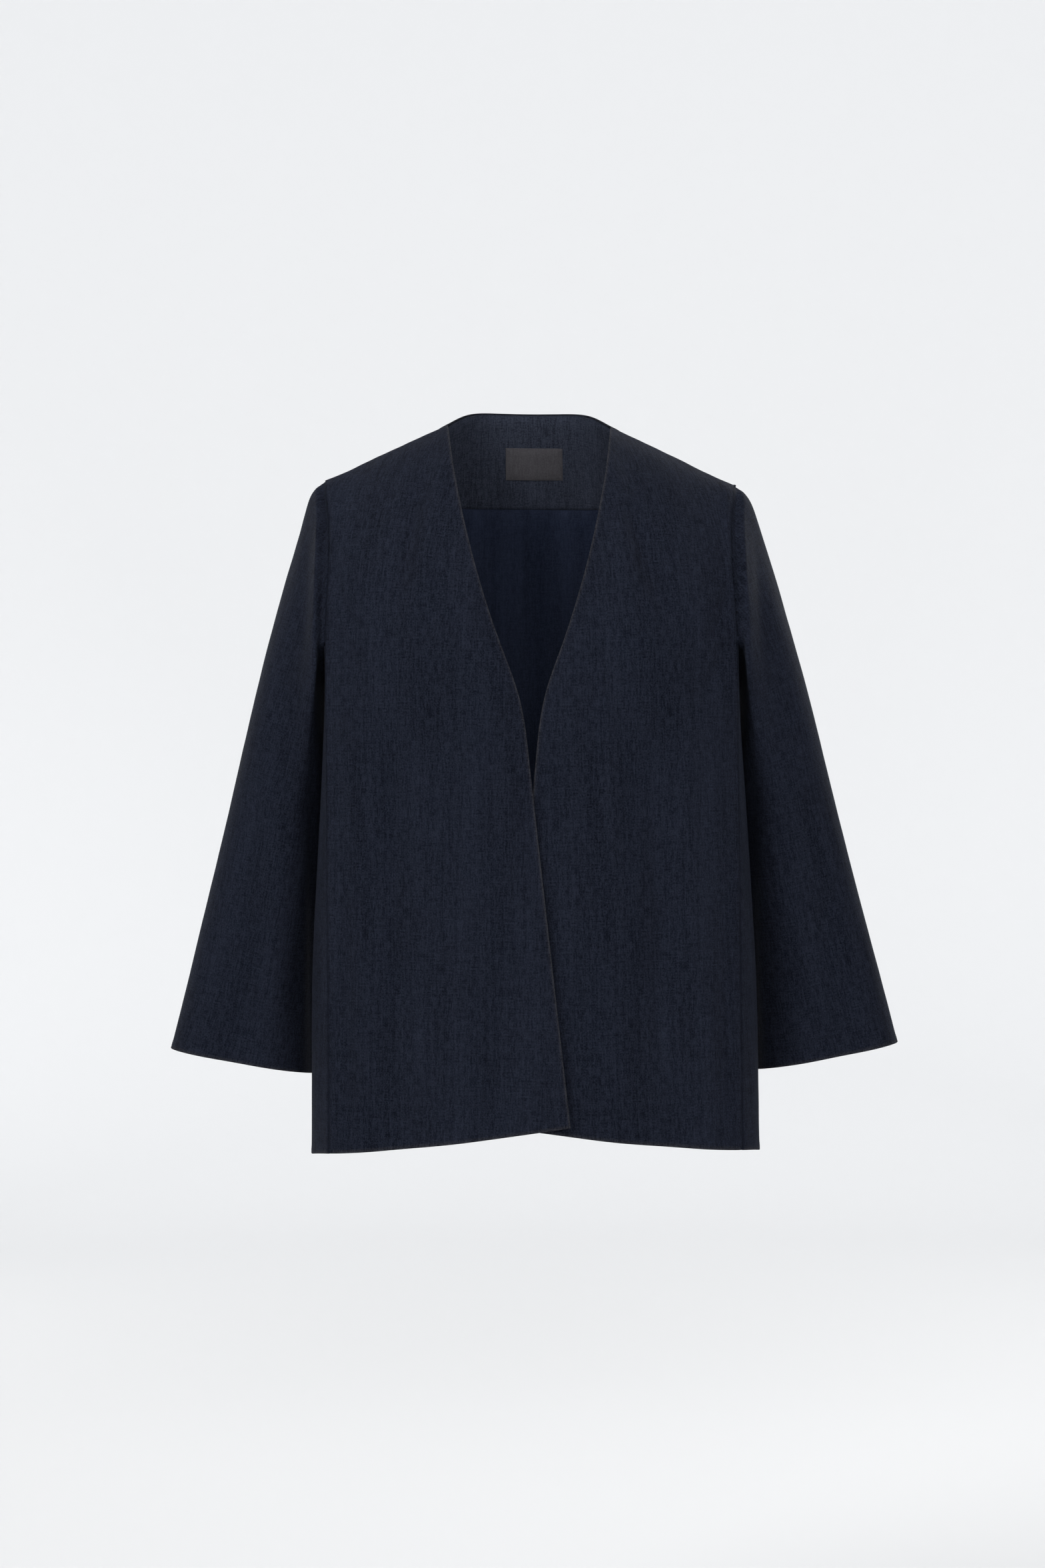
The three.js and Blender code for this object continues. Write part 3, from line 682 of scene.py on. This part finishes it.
    def _true_up_pattern(self) -> None:
        """Scales the flat pattern to the cloth's real size and turns it upright."""
        mesh = self.obj.data
        layer = mesh.uv_layers[UV_NAME].data
        flat = np.empty(len(layer) * 2)
        layer.foreach_get("uv", flat)
        flat = flat.reshape(-1, 2)
        corners = np.empty(len(mesh.loops), dtype=np.int64)
        mesh.loops.foreach_get("vertex_index", corners)
        real = vertex_array(mesh, "co")[corners]
        real_area = sum(p.area for p in mesh.polygons)
        flat_area = 0.0
        for face in mesh.polygons:
            ring = flat[face.loop_start : face.loop_start + face.loop_total]
            turned = np.roll(ring, -1, axis=0)
            flat_area += 0.5 * abs(float(np.sum(ring[:, 0] * turned[:, 1] - ring[:, 1] * turned[:, 0])))
        flat = (flat - flat.mean(axis=0)) * math.sqrt(real_area / flat_area)
        axis = np.array(self.axis_top) - np.array(self.axis_foot)
        height = real @ (axis / np.linalg.norm(axis))
        table = np.column_stack([flat, np.ones(len(flat))])
        slope = np.linalg.lstsq(table, height, rcond=None)[0][:2]
        slope /= np.linalg.norm(slope)
        upright = flat @ np.array([[slope[1], slope[0]], [-slope[0], slope[1]]])
        layer.foreach_set("uv", upright.ravel())
        spread = np.ptp(upright, axis=0)
        LOG.info("%s: flat pattern %.3f by %.3f m, %.4f m2", self.node(), *spread, real_area)

    def _apply(self, name: str, kind: str, **settings: object) -> None:
        """Adds a modifier and applies it."""
        modifier = self.obj.modifiers.new(name, kind)
        for key, value in settings.items():
            setattr(modifier, key, value)
        bpy.context.view_layer.objects.active = self.obj
        bpy.ops.object.modifier_apply(modifier=name)

    def _smooth(self) -> None:
        """Subdivides the skin."""
        self._apply(
            "smooth",
            "SUBSURF",
            levels=self.levels,
            render_levels=self.levels,
            boundary_smooth="PRESERVE_CORNERS",
            uv_smooth="PRESERVE_BOUNDARIES",
        )

    def _sort_rim(self) -> None:
        """Sorts the places on the skin's rim into those that are sewn and those that are free."""
        form = bmesh.new()
        form.from_mesh(self.obj.data)
        rim = [(v.index, v.co.copy()) for v in form.verts if v.is_boundary]
        form.free()
        graph = bpy.context.evaluated_depsgraph_get()
        neighbours = [BVHTree.FromObject(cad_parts[name], graph) for name in self.sewn_to()]
        pulls = []
        for index, place in rim:
            nearest = nearest_on(neighbours, place)
            if nearest:
                self.sewn_verts.append(index)
                self.sewn_rim.append(place)
                pulls.append((nearest - place) * SEAM_SHARE)
            else:
                self.free_verts.append(index)
                self.free_rim.append(place)
        self.sewn_rim = self._close_seams(self.sewn_rim, pulls)

    def _close_seams(self, places: list[Vector], pulls: list[Vector]) -> list[Vector]:
        """Draws the cloth beside each sewn edge up to the piece that it is sewn to.

        Args:
            places: the places on the sewn rim.
            pulls: for each of them, the way that it goes.

        Returns:
            The places where they are then.
        """
        tree = tree_of(places)
        for vert in self.obj.data.vertices:
            _, number, away = tree.find(vert.co)
            share = max(0.0, 1 - away / SEAM_REACH)
            vert.co += pulls[number] * share * share
        return [place + pull for place, pull in zip(places, pulls)]

    def relief(self, points: np.ndarray, normals: np.ndarray) -> np.ndarray:
        """Height of the creases, fullness and drape, which its seams hold down beside them.

        Args:
            points: places, one row each.
            normals: the surface's normals there.

        Returns:
            The heights, along the normals, in metres.
        """
        height = self.drape * soft_noise(points, *self.drape_size)
        for crease in self.creases():
            height += crease.heights(points, normals)
        for swell in self.swells():
            height += swell.heights(points)
        return height * smooth_step(0.0, self.seam_hold, distances_to(self.sewn_rim, points))

    def _press(self) -> None:
        """Moves the skin along its normals into its creases, drape, seams and turned edges."""
        mesh = self.obj.data
        points = vertex_array(mesh, "co")
        normals = vertex_array(mesh, "normal")
        from_seam = distances_to(self.sewn_rim, points)
        from_edge = distances_to(self.free_rim, points)
        height = self.relief(points, normals)
        base = self.base
        while base:
            turn = self.skin.value * base.skin.value
            height += turn * base.relief(points, turn * normals)
            base = base.base
        height += self.lift * smooth_step(0.0, LIFT_REACH, np.minimum(from_seam, from_edge))
        height += self.ripple * soft_noise(points, *RIPPLE_SIZE)
        height += self.pucker * np.exp(-from_seam / PUCKER_REACH) * soft_noise(points, *PUCKER_SIZE)
        height -= self.seam_depth * np.exp(-((from_seam / GROOVE_WIDTH) ** 2))
        height += self.edge_roll * (1 - smooth_step(*ROLL_ENDS, from_edge))
        points += normals * height[:, None]
        points += self._hang(points)
        mesh.vertices.foreach_set("co", points.ravel())
        mesh.update()
        self.pressed_seam = [Vector(points[index]) for index in self.sewn_verts]
        self.pressed_edge = [Vector(points[index]) for index in self.free_verts]

    @staticmethod
    def _hang(points: np.ndarray) -> np.ndarray:
        """How far the shoulders move: they hang a little askew, and their tips are full."""
        side = np.sign(points[:, 0])
        out = np.column_stack([np.abs(points[:, 0]), points[:, 1], points[:, 2]])
        tip = np.exp(-np.sum(((out - np.array(TIP_PLACE)) / np.array(TIP_RADII)) ** 2, axis=1))
        move = tip[:, None] * np.array(TIP_MOVE)
        move[:, 0] *= side
        move[:, 2] += SHOULDER_TILT * points[:, 0] * smooth_step(*SHOULDER_ZONE, points[:, 2])
        return move

    def _thicken(self) -> None:
        """Gives the shell its thickness and rounds its rim."""
        self._apply("wall", "SOLIDIFY", thickness=self.thickness, offset=-1.0, use_even_offset=False)
        self._apply(
            "round",
            "BEVEL",
            width=ROUND_SHARE * self.thickness,
            segments=ROUND_STEPS,
            limit_method="ANGLE",
            angle_limit=ROUND_ANGLE,
            use_clamp_overlap=True,
        )
        self.obj.data.shade_smooth()

    def _mark_edges(self) -> None:
        """Writes how near each vertex lies to a turned edge and a seam, for the painted edge light and
        seam shade.
        """
        mesh = self.obj.data
        points = vertex_array(mesh, "co")
        edge_mark = (EDGE_ATTRIBUTE, self.pressed_edge, EDGE_MARK)
        seam_mark = (SEAM_ATTRIBUTE, self.pressed_seam, SEAM_MARK)
        for name, places, reach in (edge_mark, seam_mark):
            near = np.exp(-((distances_to(places, points) / reach) ** 2))
            mesh.attributes.new(name, "FLOAT", "POINT").data.foreach_set("value", near)


@dataclass
class Front(ClothPiece):
    """A front, from shoulder seam, armhole and side seam to the neckline and the front edge."""

    solid: str = "front_{side}"
    sewn: tuple[str, ...] = ("back", "sleeve_{side}")
    flat: tuple[float, float] = (0.275, 0.74)
    area: float = 0.1347
    seam_hold: float = 4 * MM

    def creases(self) -> list[Crease]:
        """Pulls from the shoulder and the armhole, and slack down to the hem."""
        if self.side is Side.RIGHT:
            return [
                Crease((-188, -30), (-191, -260), 3.6, 1.4),
                Crease((-78, -18), (-104, -168), 11, 3.2, bow=3),
                Crease((-99, -40), (-127, -190), 9, -4.8, bow=2, crispness=1.7),
                Crease((-193, -128), (-158, -214), 7, -2.2, bow=4, crispness=1.6),
                Crease((-190, -176), (-150, -262), 8, -2.6, bow=5, crispness=1.6),
                Crease((-146, -250), (-142, -540), 13, -3.2, bow=-3),
                Crease((-112, -230), (-106, -600), 12, 3.0, bow=4),
                Crease((-62, -260), (-54, -640), 12, -2.7, bow=-3),
                Crease((-32, -190), (-26, -520), 9, 2.6, bow=-2),
                Crease((-178, -420), (-174, -720), 9, -3.0, bow=2),
                Crease((-12, -300), (2, -620), 8, -1.6),
            ]
        return [
            Crease((188, -30), (191, -260), 3.6, 1.3),
            Crease((72, -16), (98, -158), 11, 3.0, bow=-3),
            Crease((84, -70), (130, -198), 9, -4.5, bow=-2, crispness=1.7),
            Crease((194, -140), (162, -226), 7, -2.3, bow=-4, crispness=1.6),
            Crease((191, -192), (148, -284), 8, -2.2, bow=-6, crispness=1.6),
            Crease((146, -260), (152, -560), 12, 3.0, bow=3),
            Crease((112, -280), (118, -640), 12, -3.2, bow=-3),
            Crease((70, -190), (74, -520), 11, 2.7, bow=2),
            Crease((40, -330), (52, -640), 10, -2.4, bow=-2),
            Crease((180, -400), (177, -720), 9, -2.6, bow=-2),
        ]

    def swells(self) -> list[Swell]:
        """The small dimple beside the foot of the neckline."""
        if self.side is Side.RIGHT:
            return [Swell((-14, -112, -356), (4, 14, 4), -1.0)]
        return [Swell((10, -110, -355), (4, 14, 4), -1.0)]


@dataclass
class Sleeve(ClothPiece):
    """A wide sleeve that hangs from its armhole to an open cuff."""

    solid: str = "sleeve_{side}"
    sewn: tuple[str, ...] = ("front_{side}", "back")
    flat: tuple[float, float] = (0.41, 0.56)
    area: float = 0.1629
    is_tube: bool = True
    seam_hold: float = 3.5 * MM
    drape: float = 1.2 * MM
    top: tuple[float, float, float] = (0.200, 0.0, -0.150)
    foot: tuple[float, float, float] = (0.284, 0.040, -0.617)

    def __post_init__(self) -> None:
        """Puts the axis of the hollow on the sleeve's own side."""
        sign = self.side.value
        self.axis_top = (sign * self.top[0], self.top[1], self.top[2])
        self.axis_foot = (sign * self.foot[0], self.foot[1], self.foot[2])

    def creases(self) -> list[Crease]:
        """Slack below the sleeve head and soft breaks at the elbow."""
        shared = [
            Crease((197, 10), (200.5, -340), 3.8, -4.6),
            Crease((203, -20), (206.5, -330), 3.2, 2.6, crispness=1.7),
            Crease((215, -70), (226, -250), 8, -3.0, bow=2),
            Crease((204, -230), (204, -800), 17, -8.0),
            Crease((222, -330), (272, -300), 8, -1.5, bow=3, crispness=1.6),
            Crease((218, -372), (276, -352), 9, 1.3, bow=3),
            Crease((226, -410), (282, -398), 8, -1.2, bow=4, crispness=1.6),
            Crease((306, -430), (268, -500), 8, -1.4, bow=3),
            Crease((222, -470), (232, -600), 8, -1.5, bow=-2),
            Crease((318, -470), (336, -590), 9, 1.4, bow=2),
            Crease((226, -110), (252, -250), 9, -1.8, bow=3, seen_from=SeenFrom.BACK),
            Crease((214, -320), (272, -338), 9, -1.7, bow=4, crispness=1.6, seen_from=SeenFrom.BACK),
            Crease((218, -372), (286, -384), 8, -1.5, bow=3, crispness=1.6, seen_from=SeenFrom.BACK),
            Crease((300, -400), (262, -470), 9, 1.4, bow=3, seen_from=SeenFrom.BACK),
            Crease((240, -450), (258, -600), 9, -1.4, bow=2, seen_from=SeenFrom.BACK),
        ]
        if self.side is Side.LEFT:
            return [replace(c, depth=0.85 * c.depth, bow=-0.7 * c.bow) for c in shared]
        return [c.mirrored() for c in shared]

    def swells(self) -> list[Swell]:
        """The slack that closes the gap beside the body."""
        shared = [
            Swell((200, 12, -318), (26, 60, 70), 3.8),
            Swell((204, 46, -345), (26, 30, 70), 3.5),
            Swell((207, 24, -400), (24, 60, 80), 2.2),
        ]
        if self.side is Side.LEFT:
            return shared
        own = [
            Swell((-200, 12, -318), (26, 60, 70), 0.8),
            Swell((-204, 42, -318), (26, 26, 45), 1.8),
            Swell((-228, 0, -165), (24, 80, 105), -3.0),
        ]
        return [s.mirrored() for s in shared] + own


@dataclass
class Back(ClothPiece):
    """The back, which wraps round the sides to side seams that lie well forward."""

    solid: str = "back"
    sewn: tuple[str, ...] = ("front_right", "front_left", "sleeve_right", "sleeve_left")
    flat: tuple[float, float] = (0.71, 0.735)
    area: float = 0.4119
    drape: float = 1.2 * MM
    drape_size: tuple[float, float] = (0.08, 0.19)

    def creases(self) -> list[Crease]:
        """Pulls between the shoulder blades and from the armholes, and slack above the hem."""
        pulls = [
            Crease((-172, -196), (-112, -292), 9, -2.7, bow=5, crispness=1.6),
            Crease((168, -206), (116, -312), 9, -2.4, bow=-5, crispness=1.6),
            Crease((-150, -90), (-120, -210), 10, 2.0, bow=3),
            Crease((152, -96), (124, -200), 10, 1.7, bow=-3),
            Crease((-34, -290), (-28, -640), 10, -2.2, bow=4),
            Crease((30, -330), (38, -660), 10, -2.0, bow=-3),
            Crease((-108, -360), (-116, -690), 11, 2.4, bow=-3),
            Crease((104, -340), (112, -690), 11, 2.2, bow=3),
            Crease((-170, -380), (-178, -690), 10, -2.2, bow=2),
            Crease((168, -400), (176, -690), 10, -2.4, bow=-2),
        ]
        return [replace(c, seen_from=SeenFrom.BACK) for c in pulls]


@dataclass
class NeckFacing(ClothPiece):
    """The facing of the same cloth inside the back neck."""

    solid: str = "back_neck_facing"
    sewn: tuple[str, ...] = ("back", "back_lining")
    skin: Skin = Skin.INNER
    # The lighter copy of the denim, with painted light.
    finish: WovenFinish = FACING_DENIM_PAINTED_LIGHT
    flat: tuple[float, float] = (0.30, 0.105)
    area: float = 0.0267
    thickness: float = 0.8 * MM
    drape: float = 0.35 * MM
    pucker: float = 0.2 * MM
    seam_depth: float = 0.15 * MM

    def creases(self) -> list[Crease]:
        """The centre-back crease and the slack beside it."""
        return [
            Crease((6, 30), (6, -90), 4, 0.5),
            Crease((-44, 14), (-40, -86), 9, 0.7),
            Crease((48, 12), (43, -84), 8, 0.6),
        ]


@dataclass
class BackLining(ClothPiece):
    """The lining inside the back, eased into the facing's lower edge."""

    solid: str = "back_lining"
    sewn: tuple[str, ...] = ("back_neck_facing", "back")
    skin: Skin = Skin.INNER
    finish: WovenFinish = LINING
    flat: tuple[float, float] = (0.475, 0.655)
    area: float = 0.265
    thickness: float = 0.6 * MM
    drape: float = 0.5 * MM
    pucker: float = 0.3 * MM
    seam_depth: float = 0.2 * MM
    lift: float = 0.9 * MM
    seam_hold: float = 4 * MM
    pleat_places: tuple[float, ...] = (-61.0, -52.0, -44.0, -30.0, -17.0, 21.0, 37.0, 58.0)
    pleat_lengths: tuple[float, ...] = (24.0, 40.0, 21.0, 34.0, 19.0, 27.0, 22.0, 31.0)

    def creases(self) -> list[Crease]:
        """The ease below the facing, the centre-back pleat and long slack folds."""
        ease = [
            Crease((x, -62), (0.97 * x, -70 - length), 2.6, 1.1)
            for x, length in zip(self.pleat_places, self.pleat_lengths)
        ]
        return ease + [
            Crease((5, -20), (7, -360), 4, 2.2, crispness=1.5),
            Crease((-22, -60), (-17, -300), 7, 1.5, bow=2),
            Crease((33, -50), (27, -320), 8, 1.4, bow=-2),
            Crease((-58, -90), (-44, -330), 10, 1.9, bow=-3),
            Crease((66, -100), (52, -340), 10, 1.7, bow=3),
            Crease((-96, -120), (-80, -380), 12, 2.2, bow=-4),
            Crease((98, -130), (84, -400), 12, 2.0, bow=4),
        ]


@dataclass
class Label(ClothPiece):
    """The blank woven label on the facing."""

    solid: str = "label"
    sewn: tuple[str, ...] = ("back_neck_facing",)
    skin: Skin = Skin.INNER
    finish: WovenFinish = LABEL_TAPE
    flat: tuple[float, float] = (0.057, 0.034)
    area: float = 0.0019
    thickness: float = 0.6 * MM
    levels: int = 4
    drape: float = 0.0
    ripple: float = 0.08 * MM
    pucker: float = 0.0
    seam_depth: float = 0.0
    edge_roll: float = 0.12 * MM
    seam_hold: float = 2 * MM

    def creases(self) -> list[Crease]:
        """The slight fold down its middle."""
        return [Crease((6, -8), (6, -48), 2.6, 0.35)]


@dataclass(frozen=True)
class Studio:
    """The camera, a round pale floor that curves up at its rim, and soft lights."""

    eye: tuple[float, float, float] = (-0.0095, -3.120, -0.3473)
    view_height_deg: float = 27.5
    roll_deg: float = -0.5
    sensor: float = 36.0
    floor_z: float = -1.35
    floor_radius: float = 5.6
    cove_radius: float = 1.6
    wall_top_z: float = 2.4
    hub_radius: float = 0.02
    cove_steps: int = 12
    turns: int = 72
    floor_shade: float = 0.56
    wall_shade: float = 0.86
    floor_grade_from: float = 2.5
    floor_roughness: float = 0.95
    floor_specular: float = 0.05
    lights_aim: tuple[float, float, float] = (0.0, 0.0, -0.36)
    surround: tuple[float, float, float] = (0.95, 0.97, 1.0)
    surround_strength: float = 0.94

    def build(self) -> None:
        """Makes the whole studio."""
        self._camera()
        self._floor()
        self._lights()
        self._colours()

    def _camera(self) -> None:
        """A camera in front of the jacket with the photograph's framing and its slight lean."""
        data = bpy.data.cameras.new("camera")
        data.sensor_width = self.sensor
        data.lens = 0.5 * self.sensor / math.tan(math.radians(0.5 * self.view_height_deg))
        data.dof.use_dof = False
        camera = bpy.data.objects.new("camera", data)
        level = Matrix.Translation(self.eye) @ Matrix.Rotation(math.radians(90), 4, "X")
        camera.matrix_world = level @ Matrix.Rotation(math.radians(self.roll_deg), 4, "Z")
        bpy.context.scene.collection.objects.link(camera)
        bpy.context.scene.camera = camera

    def _profile(self) -> list[tuple[float, float]]:
        """The floor's section from its middle out and up its rim, as radius and height."""
        flat = self.floor_radius - self.cove_radius
        profile = [(self.hub_radius, self.floor_z), (0.5 * flat, self.floor_z)]
        for step in range(self.cove_steps + 1):
            angle = math.radians(90 * step / self.cove_steps)
            radius = flat + self.cove_radius * math.sin(angle)
            profile.append((radius, self.floor_z + self.cove_radius * (1 - math.cos(angle))))
        profile.append((self.floor_radius, self.wall_top_z))
        return profile

    def _floor(self) -> None:
        """A plain pale floor with a coved rim, the same from every side and clear from below."""
        form = bmesh.new()
        rings = []
        angles = [2 * math.pi * turn / self.turns for turn in range(self.turns)]
        for radius, z in self._profile():
            rings.append([form.verts.new((radius * math.cos(a), radius * math.sin(a), z)) for a in angles])
        for inner, outer in zip(rings, rings[1:]):
            for turn in range(self.turns):
                after = (turn + 1) % self.turns
                corners = (inner[turn], outer[turn], outer[after], inner[after])
                form.faces.new(corners).smooth = True
        form.faces.new(rings[0])
        mesh = bpy.data.meshes.new("floor")
        form.to_mesh(mesh)
        form.free()
        floor = bpy.data.objects.new("floor", mesh)
        bpy.context.scene.collection.objects.link(floor)
        paper = bpy.data.materials.new("pale_paper")
        paper.use_nodes = True
        shader = paper.node_tree.nodes["Principled BSDF"]
        builder = NodeBuilder(paper.node_tree)
        place = builder.add("ShaderNodeNewGeometry").outputs["Position"]
        spread = builder.add("ShaderNodeVectorMath", {0: place}, operation="LENGTH").outputs["Value"]
        shade = builder.add(
            "ShaderNodeMapRange",
            {
                "Value": spread,
                "From Min": self.floor_grade_from,
                "From Max": self.floor_radius,
                "To Min": self.floor_shade,
                "To Max": self.wall_shade,
            },
            interpolation_type="SMOOTHSTEP",
        )
        paper.node_tree.links.new(shade.outputs["Result"], shader.inputs["Base Color"])
        shader.inputs["Roughness"].default_value = self.floor_roughness
        shader.inputs["Specular IOR Level"].default_value = self.floor_specular
        under = builder.add("ShaderNodeNewGeometry").outputs["Backfacing"]
        clear = builder.add("ShaderNodeBsdfTransparent").outputs[0]
        seen = builder.add("ShaderNodeMixShader", {0: under, 1: shader.outputs[0], 2: clear}).outputs[0]
        paper.node_tree.links.new(seen, paper.node_tree.nodes["Material Output"].inputs["Surface"])
        mesh.materials.append(paper)

    def _lights(self) -> None:
        """Large soft lights all round, strongest in front, and an even surround."""
        aim = Vector(self.lights_aim)
        for name, place, size, power in (
            ("key_light", (-2.0, -2.3, 1.7), 1.2, 64.0),
            ("fill_light", (2.2, -2.8, 0.9), 2.0, 20.0),
            ("front_light", (0.05, -3.5, 0.35), 1.0, 26.0),
            ("rear_key_light", (1.9, 2.4, 1.3), 1.2, 60.0),
            ("rear_fill_light", (-2.2, 2.6, 0.7), 2.0, 30.0),
            ("top_light", (0.0, 0.0, 2.5), 2.4, 8.0),
        ):
            data = bpy.data.lights.new(name, "AREA")
            data.shape = "DISK"
            data.size = size
            data.energy = power
            light = bpy.data.objects.new(name, data)
            light.location = place
            light.rotation_euler = (aim - Vector(place)).to_track_quat("-Z", "Y").to_euler()
            light.visible_camera = False
            bpy.context.scene.collection.objects.link(light)
        world = bpy.data.worlds.new("surround")
        world.use_nodes = True
        background = world.node_tree.nodes["Background"].inputs
        background["Color"].default_value = (*self.surround, 1)
        background["Strength"].default_value = self.surround_strength
        bpy.context.scene.world = world

    @staticmethod
    def _colours() -> None:
        """Shows colours as they are, without a film look."""
        bpy.context.scene.view_settings.view_transform = "Standard"


def vertex_array(mesh: bpy.types.Mesh, name: str) -> np.ndarray:
    """The vertices' places or normals, one row each."""
    values = np.empty(len(mesh.vertices) * 3, dtype=np.float32)
    if name == "normal":
        mesh.vertex_normals.foreach_get("vector", values)
    else:
        mesh.vertices.foreach_get("co", values)
    return values.reshape(-1, 3).astype(float)


def nearest_on(trees: list[BVHTree], place: Vector) -> Vector | None:
    """The nearest place on any of some surfaces, where a seam's reach holds one."""
    found = [tree.find_nearest(place, SEWN_WITHIN) for tree in trees]
    found = [hit for hit in found if hit[0]]
    return min(found, key=lambda hit: hit[3])[0] if found else None


def tree_of(places: list[Vector]) -> KDTree:
    """A tree that finds the nearest of some places."""
    tree = KDTree(len(places))
    for number, place in enumerate(places):
        tree.insert(place, number)
    tree.balance()
    return tree


def distances_to(places: list[Vector], points: np.ndarray) -> np.ndarray:
    """Distance of each point from the nearest of some places; 1 m where there are none."""
    if not places:
        return np.ones(len(points))
    tree = tree_of(places)
    return np.array([tree.find(p)[2] for p in points])


def soft_noise(points: np.ndarray, across: float, along: float) -> np.ndarray:
    """Smooth noise from -1 to 1, drawn out along the height."""
    scale = np.array([1 / across, 1 / across, 1 / along])
    return np.array([noise.noise(Vector(p)) for p in points * scale])


def main() -> None:
    """Builds the studio and every piece of the jacket."""
    logging.basicConfig(level=logging.INFO, format="%(message)s")
    Studio().build()
    groups = ClothGroups()
    materials: dict[str, bpy.types.Material] = {}
    back = Back()
    facing = NeckFacing(base=back)
    pieces = [
        back,
        Front(side=Side.RIGHT),
        Front(side=Side.LEFT),
        Sleeve(side=Side.RIGHT),
        Sleeve(side=Side.LEFT),
        facing,
        BackLining(base=back),
        Label(base=facing),
    ]
    for piece in pieces:
        piece.shape()
    graph = bpy.context.evaluated_depsgraph_get()
    skins: dict[Skin, dict[str, BVHTree]] = {Skin.OUTER: {}, Skin.INNER: {}}
    for piece in pieces:
        skins[piece.skin][piece.node()] = BVHTree.FromObject(piece.obj, graph)
    for piece in pieces:
        piece.join(skins[piece.skin])
        LOG.info("%s: %d faces", piece.obj.name, len(piece.obj.data.polygons))
    for piece in pieces:
        piece.dress(groups, materials)


if __name__ == "__main__":
    main()
